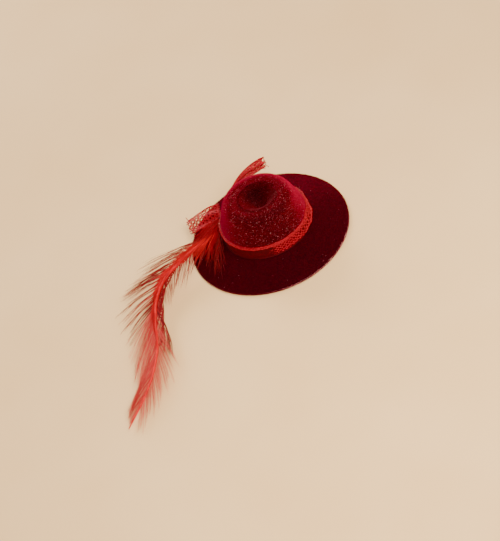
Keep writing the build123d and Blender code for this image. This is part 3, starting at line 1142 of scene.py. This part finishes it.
BACK_ROUTE = (
    (-8.9, 8.4, 3.2), (-6.4, 11.0, 4.8), (-3.1, 12.8, 6.5), (-0.6, 13.5, 7.6), (2.0, 14.1, 8.0),
    (4.8, 14.8, 8.0),
)
BACK_WIDTHS = (1.6, 2.0, 2.3, 2.6, 3.1, 3.6)
SIDE_ROUTE = ((-9.4, 8.9, 4.3), (-12.2, 9.8, 3.2), (-15.2, 10.3, 2.1), (-18.1, 10.5, 1.2))
SIDE_WIDTHS = (3.2, 4.4, 4.6, 4.2)
ENDS = dict(cells=5, frayed=0.6)
back_tail = tail("ribbon_back_end", BACK_ROUTE, BACK_WIDTHS, across=Vector((0, 0, 1)),
                 ripple=0.20, layers=4, seed=21, **ENDS)
side_tail = tail("ribbon_side_end", SIDE_ROUTE, SIDE_WIDTHS, across=Vector((0.28, -0.93, -0.22)),
                 ripple=0.25, layers=2, seed=23, **ENDS)

# %% [markdown]
# ## Plume
# The plume is a dyed hackle, a long narrow feather from a cockerel. A shaft carries barbs on both sides.
# Near the quill they are loose down; towards the tip they lie close, side by side, and make a web that
# light passes through. A feather is best grown the way it is built: one smooth shaft, and a tree that
# puts barbs along it.

# %% Plume materials
def barb_material(name, stops, through, passing):
    """Dyed keratin in fine barbs: silky on top, with some of the light passing through."""
    material, tree, principled = shader(
        name, Roughness=0.6, Specular_IOR_Level=0.12, Sheen_Weight=0.1, Sheen_Roughness=0.4,
        Sheen_Tint=linear("#ff4048"),
    )
    paint_by_tone(tree, principled, stops)
    lit = add(tree, "ShaderNodeBsdfTranslucent", {"Color": linear(through)})
    show(tree, blended(tree, passing, principled.outputs[0], lit.outputs[0]))
    return material


# Long loose barbs: thin, so the dye looks dark in some and pale in others.
down_barb = barb_material("dyed_down_barb", (
    (0.0, "#580a10"), (0.5, "#9c1c24"), (1.0, "#d84844"),
), "#d81c2c", 0.22)
# Barbs painted darker as painted shade: the strand inside the bend and the streaks under the tuft.
shade_painted_barb = barb_material("dyed_dark_barb", (
    (0.0, "#3c0408"), (0.5, "#7c0a16"), (1.0, "#b41c28"),
), "#a01020", 0.12)
# Barbs of the closed web: paler, because their fine barbules let light through.
web_barb = barb_material("dyed_web_barb", (
    (0.0, "#901820"), (0.5, "#d03a40"), (1.0, "#f88078"),
), "#ff6660", 0.45)
# The soft short barbs at the quill: the strongest colour.
tuft_barb = barb_material("dyed_tuft_barb", (
    (0.0, "#5c010c"), (0.5, "#98021a"), (1.0, "#cc0628"),
), "#f01020", 0.28)
# The short barbs along the shaft, in full light: scarlet.
bundle_barb = barb_material("dyed_bundle_barb", (
    (0.0, "#80030e"), (0.5, "#d80a20"), (1.0, "#ff3034"),
), "#ff2418", 0.35)

# The quill and shaft: solid dyed keratin, satin, unevenly dyed.
shaft_keratin, tree, principled = shader(
    "dyed_shaft_keratin", Roughness=0.5, Specular_IOR_Level=0.15, Subsurface_Weight=0.2,
    Subsurface_Radius=(0.4 * MM, 0.05 * MM, 0.04 * MM), Subsurface_Scale=1.0,
)
mottle(tree, principled, "#a8080c", "#ec1c16", 0.8, 0.03)

# %% [markdown]
# The shaft leaves the ribbon beside the knot, runs out over the left of the brim, bends forward and
# sinks until its tip lies just above the table. Each row below says how far a point lies to the left of
# the quill's seat, how far in front of it, and what share of the way down. The quill keeps its thickness
# for long and thins late, as a real one does.

# %% Shaft
SHAFT_ROWS = [
    (0.0, 0.0, 0.00), (2.4, 1.6, 0.06), (5.6, 2.6, 0.12), (11.8, 5.0, 0.26), (17.7, 8.2, 0.38),
    (22.0, 13.8, 0.50), (24.1, 19.8, 0.57), (26.5, 29.7, 0.62), (30.1, 37.5, 0.68),
    (35.0, 44.2, 0.82), (40.3, 49.7, 1.00),
]
QUILL_FROM_KNOT = 4.3
QUILL_ABOVE_MIDDLE = 0.6
QUILL_STANDOFF = 1.15
TIP_ABOVE_TABLE = 1.1
seat = round_band(QUILL_FROM_KNOT, band_middle + QUILL_ABOVE_MIDDLE, QUILL_STANDOFF)
tip_height = table_height + TIP_ABOVE_TABLE
shaft_points = [
    seat + Vector((-left, -front, -share * (seat.z - tip_height)))
    for left, front, share in SHAFT_ROWS
]
shaft_path = make_curve("shaft_path", shaft_points)
shafts, given = start_tree("tapered_shaft", quill=0.001, tip=0.0002, points=160)
fine = add(shafts, "GeometryNodeResampleCurve", {0: given["Geometry"], 2: given["Points"]})
position = add(shafts, "GeometryNodeSplineParameter").outputs["Factor"]
late = maths(shafts, "POWER", position, 2.0)
thickness = ranged(shafts, late, 0.0, 1.0, given["Quill"], given["Tip"])
end_tree(shafts, thread_along(shafts, fine.outputs[0], thickness, 14), given["Material"])
shaft = run_tree("plume_shaft", shaft_path, shafts, shaft_keratin,
                 quill=0.75 * MM, tip=0.24 * MM, points=200)

# %% [markdown]
# ## Barbs
# A barb leaves the shaft at an angle and bends towards the tip, so its angle falls along its length. The
# tree puts points along a stretch of the shaft, gives each point a straight line, and then bends the line
# with that rule. Barbs cling to their neighbours in small groups, so most of the randomness is shared by
# a whole clump. Their lengths follow three values: at the start, in the middle and at the end of the
# stretch.

# %% Barb tree
OWN_TURN, OWN_LEVEL = 0.1, 0.15     # each barb's own share of the scatter, beside its clump's
BARB_POINTS = 10
TAPER = 0.62                    # how much of its thickness a barb loses towards the tip
barbs, given = start_tree(
    "barbs_along_a_shaft", count=100, start=0.0, end=1.0, side=1.0,
    length_start=0.01, length_middle=0.01, length_end=0.01, length_scatter=0.2,
    root_angle=40.0, tip_angle=20.0, angle_scatter=8.0, rise=0.0, droop=0.0, level_scatter=0.001,
    waviness=0.001, gather=0.0, clump=6, thickness=0.0001, seed=1,
)


def random_number(tree, low, high, identity, seed_shift):
    """A random number for each point, or for each clump."""
    shifted_seed = maths(tree, "ADD", given["Seed"], float(seed_shift))
    return add(tree, "FunctionNodeRandomValue", {
        2: low, 3: high, "ID": identity, "Seed": shifted_seed,
    }, data_type="FLOAT").outputs[1]


stretch = add(barbs, "GeometryNodeTrimCurve", {
    0: given["Geometry"], 2: given["Start"], 3: given["End"],
}, mode="FACTOR")
roots = add(barbs, "GeometryNodeCurveToPoints", {0: stretch.outputs[0], 1: given["Count"]},
            mode="COUNT")
index = add(barbs, "GeometryNodeInputIndex").outputs[0]
group = maths(barbs, "FLOOR", maths(barbs, "DIVIDE", index, given["Clump"]))
share = maths(barbs, "DIVIDE", index, given["Count"])

length_low = maths(barbs, "MULTIPLY_ADD", share, maths(
    barbs, "SUBTRACT", given["Length Middle"], given["Length Start"]), given["Length Start"])
length_high = maths(barbs, "MULTIPLY_ADD", share, maths(
    barbs, "SUBTRACT", given["Length End"], given["Length Middle"]), given["Length Middle"])
length_mean = maths(barbs, "MULTIPLY_ADD", share, maths(
    barbs, "SUBTRACT", length_high, length_low), length_low)
shortest = maths(barbs, "SUBTRACT", 1.0, given["Length Scatter"])
longest = maths(barbs, "ADD", 1.0, given["Length Scatter"])
group_length = random_number(barbs, shortest, longest, group, 1)
own_length = random_number(barbs, shortest, 1.0, index, 2)
barb_length = maths(barbs, "MULTIPLY", length_mean, maths(
    barbs, "MULTIPLY", group_length, own_length))

least = maths(barbs, "MULTIPLY", given["Angle Scatter"], -1.0)
group_turn = random_number(barbs, least, given["Angle Scatter"], group, 3)
own_turn = maths(barbs, "MULTIPLY", random_number(
    barbs, least, given["Angle Scatter"], index, 4), OWN_TURN)
turn = maths(barbs, "ADD", group_turn, own_turn)
root_turn = maths(barbs, "RADIANS", maths(barbs, "ADD", given["Root Angle"], turn))
tip_turn = maths(barbs, "RADIANS", maths(barbs, "ADD", given["Tip Angle"], turn))

lowest = maths(barbs, "MULTIPLY", given["Level Scatter"], -1.0)
group_level = random_number(barbs, lowest, given["Level Scatter"], group, 5)
own_level = maths(barbs, "MULTIPLY", random_number(
    barbs, lowest, given["Level Scatter"], index, 6), OWN_LEVEL)
level = maths(barbs, "ADD", group_level, own_level)

# Barbs of one clump lean together until they touch.
place_in_clump = maths(barbs, "SUBTRACT", maths(barbs, "FLOORED_MODULO", index, given["Clump"]),
                       maths(barbs, "MULTIPLY", given["Clump"], 0.5))
pull = maths(barbs, "MULTIPLY", place_in_clump, maths(barbs, "MULTIPLY", given["Gather"], -1.0))

sideways = vectors(barbs, "NORMALIZE", vectors(
    barbs, "CROSS_PRODUCT", roots.outputs["Tangent"], (0.0, 0.0, 1.0)))
sideways = vectors(barbs, "SCALE", sideways, given["Side"])
where = add(barbs, "GeometryNodeInputPosition").outputs[0]
points = roots.outputs["Points"]
for name, value, kind in (
    ("root", where, "FLOAT_VECTOR"), ("forward", roots.outputs["Tangent"], "FLOAT_VECTOR"),
    ("sideways", sideways, "FLOAT_VECTOR"), ("barb_length", barb_length, "FLOAT"),
    ("root_turn", root_turn, "FLOAT"), ("tip_turn", tip_turn, "FLOAT"), ("level", level, "FLOAT"),
    ("pull", pull, "FLOAT"),
    ("tone", maths(barbs, "MULTIPLY", maths(barbs, "ADD", random_number(barbs, 0.0, 1.0, group, 7),
                                            random_number(barbs, 0.0, 1.0, index, 8)), 0.5), "FLOAT"),
):
    points = kept(barbs, points, name, value, kind)

line = add(barbs, "GeometryNodeCurvePrimitiveLine", {"Start": (0, 0, 0), "End": (0, 0, 0.001)})
line = add(barbs, "GeometryNodeResampleCurve", {0: line.outputs[0], 2: BARB_POINTS})
lines = add(barbs, "GeometryNodeInstanceOnPoints", {0: points, 2: line.outputs[0]})
lines = add(barbs, "GeometryNodeRealizeInstances", {0: lines.outputs[0]})

reach = add(barbs, "GeometryNodeSplineParameter").outputs["Factor"]
bend = maths(barbs, "SUBTRACT", recalled(barbs, "tip_turn"), recalled(barbs, "root_turn"))
angle = maths(barbs, "MULTIPLY_ADD", bend, maths(barbs, "MULTIPLY", reach, 0.5),
              recalled(barbs, "root_turn"))
distance = maths(barbs, "MULTIPLY", recalled(barbs, "barb_length"), reach)
closed_up = maths(barbs, "POWER", reach, 0.6)
ahead = maths(barbs, "MULTIPLY_ADD", recalled(barbs, "pull"), closed_up,
              maths(barbs, "MULTIPLY", distance, maths(barbs, "COSINE", angle)))
forward = vectors(barbs, "SCALE", recalled(barbs, "forward", "FLOAT_VECTOR"), ahead)
outwards = vectors(barbs, "SCALE", recalled(barbs, "sideways", "FLOAT_VECTOR"),
                   maths(barbs, "MULTIPLY", distance, maths(barbs, "SINE", angle)))
hump = maths(barbs, "MULTIPLY", maths(barbs, "SINE", maths(barbs, "MULTIPLY", reach, pi)),
             given["Rise"])
fall = maths(barbs, "MULTIPLY", maths(barbs, "MULTIPLY", reach, reach), given["Droop"])
height = maths(barbs, "ADD", maths(barbs, "SUBTRACT", hump, fall),
               maths(barbs, "MULTIPLY", recalled(barbs, "level"), reach))
upwards = add(barbs, "ShaderNodeCombineXYZ", {"Z": height}).outputs[0]

bent = vectors(barbs, "ADD", vectors(barbs, "ADD", forward, outwards), upwards)
bent = vectors(barbs, "ADD", bent, recalled(barbs, "root", "FLOAT_VECTOR"))
drift = vectors(barbs, "SCALE", straying(barbs, bent, 3.5), maths(
    barbs, "MULTIPLY", maths(barbs, "MULTIPLY", reach, 2.0), given["Waviness"]))
shaped_lines = add(barbs, "GeometryNodeSetPosition", {
    0: lines.outputs[0], "Position": vectors(barbs, "ADD", bent, drift),
})
thickness = maths(barbs, "MULTIPLY", given["Thickness"], maths(
    barbs, "MULTIPLY_ADD", reach, -TAPER, 1.0))
end_tree(barbs, thread_along(barbs, shaped_lines.outputs[0], thickness, 3), given["Material"])

# %% [markdown]
# The plume has several stands of barbs. Next to the hat the outer ones are long and reach forward past
# the shaft's bend, and the inner ones hang short; both cling together in thin streaks with gaps between.
# Inside the bend one strand painted darker, as painted shade, lies along them. Beyond the bend the barbs
# stand closer and make a web, with finer hairs between them as a veil. A dense bundle of short barbs lies
# along the shaft itself and hides it. Thin barbs that lie exactly together read as clean streaks, so a
# clump closes up well.

# %% Stands of barbs
OUTER, INNER = 1.0, -1.0
SHAFT_LENGTH = sum((b - a).length for a, b in zip(shaft_points, shaft_points[1:]))


def stand(name, path, material, millimetres, count, start, end, cling=0.8, path_length=SHAFT_LENGTH,
          **numbers):
    """Runs the barb tree. Lengths are given in millimetres. `cling` is how far a clump closes up."""
    lengths = {label: value * MM for label, value in millimetres.items()}
    spacing = path_length * (end - start) / count
    return run_tree(name, path, barbs, material, count=count, start=start, end=end,
                    gather=cling * spacing * MM, **lengths, **numbers)


down_outer = [
    stand(
        "plume_down_outer", shaft_path, down_barb,
        dict(length_start=16.5, length_middle=17.0, length_end=14.5, droop=0.8, level_scatter=0.35,
             waviness=0.2, thickness=0.075),
        count=200, start=0.02, end=0.25, side=OUTER, length_scatter=0.16, root_angle=31.0,
        tip_angle=13.0, angle_scatter=7.0, clump=6, cling=0.95, seed=31,
    ),
    stand(
        "plume_down_outer_bend", shaft_path, down_barb,
        dict(length_start=14.0, length_middle=13.0, length_end=11.5, droop=0.8, level_scatter=0.35,
             waviness=0.15, thickness=0.08),
        count=160, start=0.22, end=0.46, side=OUTER, length_scatter=0.16, root_angle=43.0,
        tip_angle=26.0, angle_scatter=6.0, clump=6, cling=0.95, seed=33,
    ),
]
down_inner = stand(
    "plume_down_inner", shaft_path, down_barb,
    dict(length_start=8.0, length_middle=11.0, length_end=7.0, droop=0.6, level_scatter=0.35,
         waviness=0.35, thickness=0.07),
    count=190, start=0.05, end=0.31, side=INNER, length_scatter=0.28, root_angle=45.0,
    tip_angle=34.0, angle_scatter=8.0, clump=5, cling=0.9, seed=37,
)
shade_painted_strand = stand(
    "plume_dark_strand", shaft_path, shade_painted_barb,
    dict(length_start=13.0, length_middle=18.0, length_end=15.0, droop=0.3, level_scatter=0.2,
         waviness=0.45, thickness=0.11),
    count=230, start=0.22, end=0.46, side=INNER, length_scatter=0.12, root_angle=33.0,
    tip_angle=-2.0, angle_scatter=3.0, clump=8, seed=39,
)
vane_outer = [
    stand(
        f"plume_vane_outer_{tag}", shaft_path, web_barb,
        dict(length_start=lengths[0], length_middle=lengths[1], length_end=lengths[2], droop=0.3,
             level_scatter=0.12, waviness=0.12, thickness=thickness),
        count=count, start=start, end=end, side=OUTER, length_scatter=0.03, root_angle=root,
        tip_angle=tip, angle_scatter=2.0, clump=clump, cling=cling, seed=seed,
    )
    for tag, lengths, count, start, end, root, tip, thickness, clump, cling, seed in (
        ("wide", (17.5, 20.5, 16.5), 90, 0.41, 0.70, 24.0, 12.0, 0.080, 4, 0.7, 41),
        ("wide_veil", (16.5, 20.0, 16.5), 240, 0.42, 0.70, 24.0, 12.0, 0.030, 5, 0.2, 42),
        ("tip", (17.0, 9.0, 0.5), 80, 0.66, 0.975, 24.0, 10.0, 0.080, 4, 0.7, 45),
        ("tip_veil", (17.0, 9.0, 0.5), 210, 0.66, 0.97, 24.0, 10.0, 0.030, 5, 0.2, 46),
    )
]
vane_inner = stand(
    "plume_vane_inner", shaft_path, web_barb,
    dict(length_start=13.0, length_middle=15.0, length_end=8.0, droop=0.3, level_scatter=0.25,
         waviness=0.3, thickness=0.065),
    count=130, start=0.44, end=0.90, side=INNER, length_scatter=0.16, root_angle=24.0,
    tip_angle=13.0, angle_scatter=4.0, clump=4, cling=0.8, seed=43,
)
vane_inner_veil = stand(
    "plume_vane_inner_veil", shaft_path, web_barb,
    dict(length_start=9.0, length_middle=12.0, length_end=6.0, droop=0.3, level_scatter=0.2,
         waviness=0.3, thickness=0.028),
    count=240, start=0.46, end=0.90, side=INNER, length_scatter=0.16, root_angle=22.0,
    tip_angle=12.0, angle_scatter=4.0, clump=5, cling=0.4, seed=44,
)
bundle = [
    stand(
        f"plume_bundle_{tag}", shaft_path, bundle_barb,
        dict(length_start=9.0, length_middle=7.5, length_end=3.0, rise=rise, level_scatter=0.3,
             waviness=0.25, thickness=0.11),
        count=count, start=0.01, end=end, side=side, length_scatter=0.3, root_angle=root,
        tip_angle=0.0, angle_scatter=6.0, clump=3, seed=seed,
    )
    for tag, side, rise, count, end, root, seed in (
        ("outer", OUTER, 0.25, 300, 0.60, 8.0, 47), ("inner", INNER, 0.25, 260, 0.60, 7.0, 53),
        ("full_outer", OUTER, 0.45, 260, 0.38, 17.0, 49),
        ("full_inner", INNER, 0.4, 180, 0.32, 14.0, 55),
    )
]
down_outer = join("plume_down_outer", down_outer)
down_inner = join("plume_down_inner", [down_inner, shade_painted_strand])
vane_outer = join("plume_vane_outer", vane_outer)
vane_inner = join("plume_vane_inner", [vane_inner, vane_inner_veil])
bundle = join("plume_shaft_bundle", bundle)

# %% [markdown]
# ## Tuft
# At the quill the barbs are the softest and the fullest. A short dense fan covers the quill, and under
# it longer single streaks, painted darker as painted shade, fall forward over the brim. Each fan has a
# short path of its own that starts at the quill's seat.

# %% Tuft
def tuft_fan(tag, steps, count, seed, **changes):
    """A fan of tuft barbs on both sides of a short path from the quill's seat."""
    points = [seat + Vector(step) for step in steps]
    path = make_curve(f"tuft_path_{tag}", points)
    settings = dict(length_start=7.5, length_middle=7.0, length_end=4.0, droop=0.7, rise=0.5,
                    level_scatter=0.6, waviness=1.0, thickness=0.09)
    numbers = dict(length_scatter=0.3, root_angle=18.0, tip_angle=3.0, angle_scatter=11.0, clump=6)
    settings.update({k: v for k, v in changes.items() if k in settings})
    numbers.update({k: v for k, v in changes.items() if k in numbers})
    length = sum((b - a).length for a, b in zip(points, points[1:]))
    fans = [
        stand(f"tuft_{tag}_{name}", path, changes.get("material", tuft_barb), settings, count=count,
              start=0.0, end=0.85, path_length=length, side=side, seed=seed + number, **numbers)
        for number, (name, side) in enumerate((("outer", OUTER), ("inner", INNER)))
    ]
    bpy.data.objects.remove(path)
    return fans


tuft = tuft_fan("short", (
    (1.4, 0.8, 1.2), (-0.8, 0.2, 0.8), (-3.4, -1.0, -0.4), (-6.4, -2.6, -1.4),
), 420, 61)
tuft += tuft_fan("fallen", (
    (0.6, 0.0, 0.9), (-0.9, -1.4, 0.2), (-2.8, -3.6, -1.2), (-4.6, -5.8, -2.0),
), 150, 65, length_start=5.0, length_middle=4.5, length_end=3.5, angle_scatter=8.0, clump=4,
    thickness=0.07)
tuft += tuft_fan("streaks", (
    (0.2, -0.6, 0.2), (-1.2, -3.6, -0.9), (-2.8, -7.2, -2.0), (-4.2, -10.2, -2.8),
), 60, 69, length_start=7.5, length_middle=7.0, length_end=5.0, angle_scatter=9.0, clump=4,
    thickness=0.06, waviness=0.5, material=shade_painted_barb)
tuft = join("plume_tuft", tuft)
bpy.data.objects.remove(shaft_path)

# %% [markdown]
# ## Glue
# A drop of clear glue fixes the quill to the ribbon. It wets both, so it is a flattened drop with a
# thin edge. It dries clear, and the dye has tinted it.

# %% Glue drop
glue_clear, tree, principled = shader(
    "set_clear_glue", Roughness=0.12, IOR=1.48, Transmission_Weight=0.5,
    Base_Color=linear("#c8281e"),
)
place = add(tree, "ShaderNodeTexCoord")
ripple = add(tree, "ShaderNodeTexNoise", {"Vector": place.outputs["Object"], "Scale": 1 / (0.7 * MM)})
raised = add(tree, "ShaderNodeBump", {"Height": ripple.outputs["Fac"], "Distance": 0.04 * MM})
tree.links.new(raised.outputs["Normal"], principled.inputs["Normal"])


def drop(name, centre, axes, halves, rings=18, around=28):
    """A rounded drop, flattened and slightly uneven. `axes` are its three directions."""
    points = []
    for ring in range(1, rings):
        tilt = pi * ring / rings
        for step in range(around):
            turn = 2 * pi * step / around
            unit = Vector((sin(tilt) * cos(turn), sin(tilt) * sin(turn), cos(tilt)))
            swell = 1.0 + 0.10 * noise.noise(unit * 1.7)
            points.append(centre + sum((axis * half * part * swell for axis, half, part
                                        in zip(axes, halves, unit)), Vector((0, 0, 0))))
    top, bottom = len(points), len(points) + 1
    last_ring = (rings - 2) * around
    points += [centre + axes[2] * halves[2], centre - axes[2] * halves[2]]
    faces = quads(rings - 1, around)
    for step in range(around):
        right = (step + 1) % around
        faces += [(top, step, right), (last_ring + step, bottom, last_ring + right)]
    return make_object(name, points, faces, smooth=True)


glue_low, glue_high = node_box("glue_pad")
glue_centre = (glue_low + glue_high) / 2
glue_out = Vector((glue_centre.x, glue_centre.y, 0.0)).normalized()
glue_along = Vector((0, 0, 1)).cross(glue_out)
GLUE_HALVES = (1.4, 0.85, 0.75)     # half its size along the ribbon, upwards and outwards
glue = drop("glue_drop", glue_centre, (glue_along, Vector((0, 0, 1)), glue_out), GLUE_HALVES)
glue.data.materials.append(glue_clear)

# %% [markdown]
# ## Riding and replacing
# Every piece rides on the frame's one body. Each stands for the CAD nodes that it shows, which are
# hidden. The table also names a material slot for each piece, which the loop does not use.

# %% Pieces in the frame
PIECES = (
    (form_shell, "moulded_form", ("hat_form",)),
    (upper_skin, "flock", ("flock_upper",)),
    (crown_fibres, "flock", ("flock_upper",)),
    (brim_fibres, "flock", ("flock_upper",)),
    (glints, "flock", ("flock_upper",)),
    (edge_fibres, "flock", ("flock_upper",)),
    (under_skin, "flock", ("flock_under",)),
    (under_fibres, "flock", ("flock_under",)),
    (band_folds, "ribbon_mesh", ("ribbon_band",)),
    (band_net, "ribbon_mesh", ("ribbon_band",)),
    (top_roll, "ribbon_mesh", ("ribbon_band",)),
    (hem_roll, "ribbon_mesh", ("ribbon_band",)),
    (knot_rope, "ribbon_mesh", ("ribbon_knot",)),
    (back_tail, "ribbon_mesh", ("ribbon_tail_back",)),
    (side_tail, "ribbon_mesh", ("ribbon_tail_side",)),
    (shaft, "feather_keratin", ("feather_shaft",)),
    (bundle, "feather_down", ("feather_shaft",)),
    (down_outer, "feather_down", ("feather_down_outer",)),
    (down_inner, "feather_down", ("feather_down_inner",)),
    (vane_outer, "feather_web", ("feather_vane_outer",)),
    (vane_inner, "feather_web", ("feather_vane_inner",)),
    (tuft, "feather_down", ("feather_tuft",)),
    (glue, "clear_glue", ("glue_pad",)),
)
for piece, slot_name, nodes in PIECES:
    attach(piece, "root")
    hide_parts(*nodes)
print(len(PIECES), "pieces")

# %% [markdown]
# ## Table
# The hat stands on a plain pale surface at the height of its rim. It is wide enough to fill the view,
# and matt with the faintest grain, so that it takes a soft shadow and nothing else.

# %% Table
table_paint, tree, principled = shader("pale_table", Roughness=0.85, Specular_IOR_Level=0.2)
mottle(tree, principled, "#ecc690", "#f2ce9a", 40.0, 0.02, detail=2.0)
TABLE_HALF = 600.0
CLEAR_OF_RIM = 0.02             # the surface lies just under the rim, so that the two don't flicker
floor = make_object("table", [
    (x * TABLE_HALF, y * TABLE_HALF, table_height - CLEAR_OF_RIM)
    for x, y in ((-1, -1), (1, -1), (1, 1), (-1, 1))
], [(0, 1, 2, 3)])
floor.data.materials.append(table_paint)
floor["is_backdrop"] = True

# %% [markdown]
# ## Light
# A warm soft window stands close above the hat, a little to the front and the right, so that its light
# falls away across the table. A wide weak fill from the viewer's side keeps the front readable. A third,
# from behind and the left, picks out the pile along the crown's edge and shines through the plume. An
# even room light fills the rest.

# %% Light
def window(name, direction, distance, size, power, colour):
    """A square area light that faces the hat's centre from a direction. Power is in watts."""
    light = bpy.data.lights.new(name, "AREA")
    light.shape = "SQUARE"
    light.size = size * MM
    light.energy = power
    light.color = linear(colour)[:3]
    lamp = bpy.data.objects.new(name, light)
    bpy.context.scene.collection.objects.link(lamp)
    toward = direction.normalized()
    right = Vector((0, 0, 1)).cross(toward).normalized()
    lamp.matrix_world = facing(right, toward.cross(right), toward, toward * distance)
    return lamp


key_direction = Vector((0.20, -0.52, 0.82))
fill_direction = toward_camera * 0.8 + view_right * 0.5 - view_up * 0.3
back_direction = Vector((-0.30, 1.0, 0.50))
window("key", key_direction, distance=270.0, size=150.0, power=1.3, colour="#fff0d8")
window("fill", fill_direction, distance=700.0, size=350.0, power=1.5, colour="#ffeed6")
window("back", back_direction, distance=500.0, size=220.0, power=3.2, colour="#fff6ee")

ROOM_LIGHT = 0.55
world = bpy.data.worlds.new("room")
world.use_nodes = True
bpy.context.scene.world = world
room = next(node for node in world.node_tree.nodes if node.type == "BACKGROUND")
room.inputs["Color"].default_value = linear("#f2e6d6")
room.inputs["Strength"].default_value = ROOM_LIGHT

# %% [markdown]
# ## Size
# The finished model is measured, and its box is printed beside the CAD's, to show how far anything grew
# out of it. Only the tips of the plume's barbs and the fibres at the rim may.

# %% Size and finish
visual_box = [list(corner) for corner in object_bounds()]
for label, (low, high) in (("cad", cad_box), ("visual", visual_box)):
    print(label, [round(v / MM, 2) for v in low], [round(v / MM, 2) for v in high])
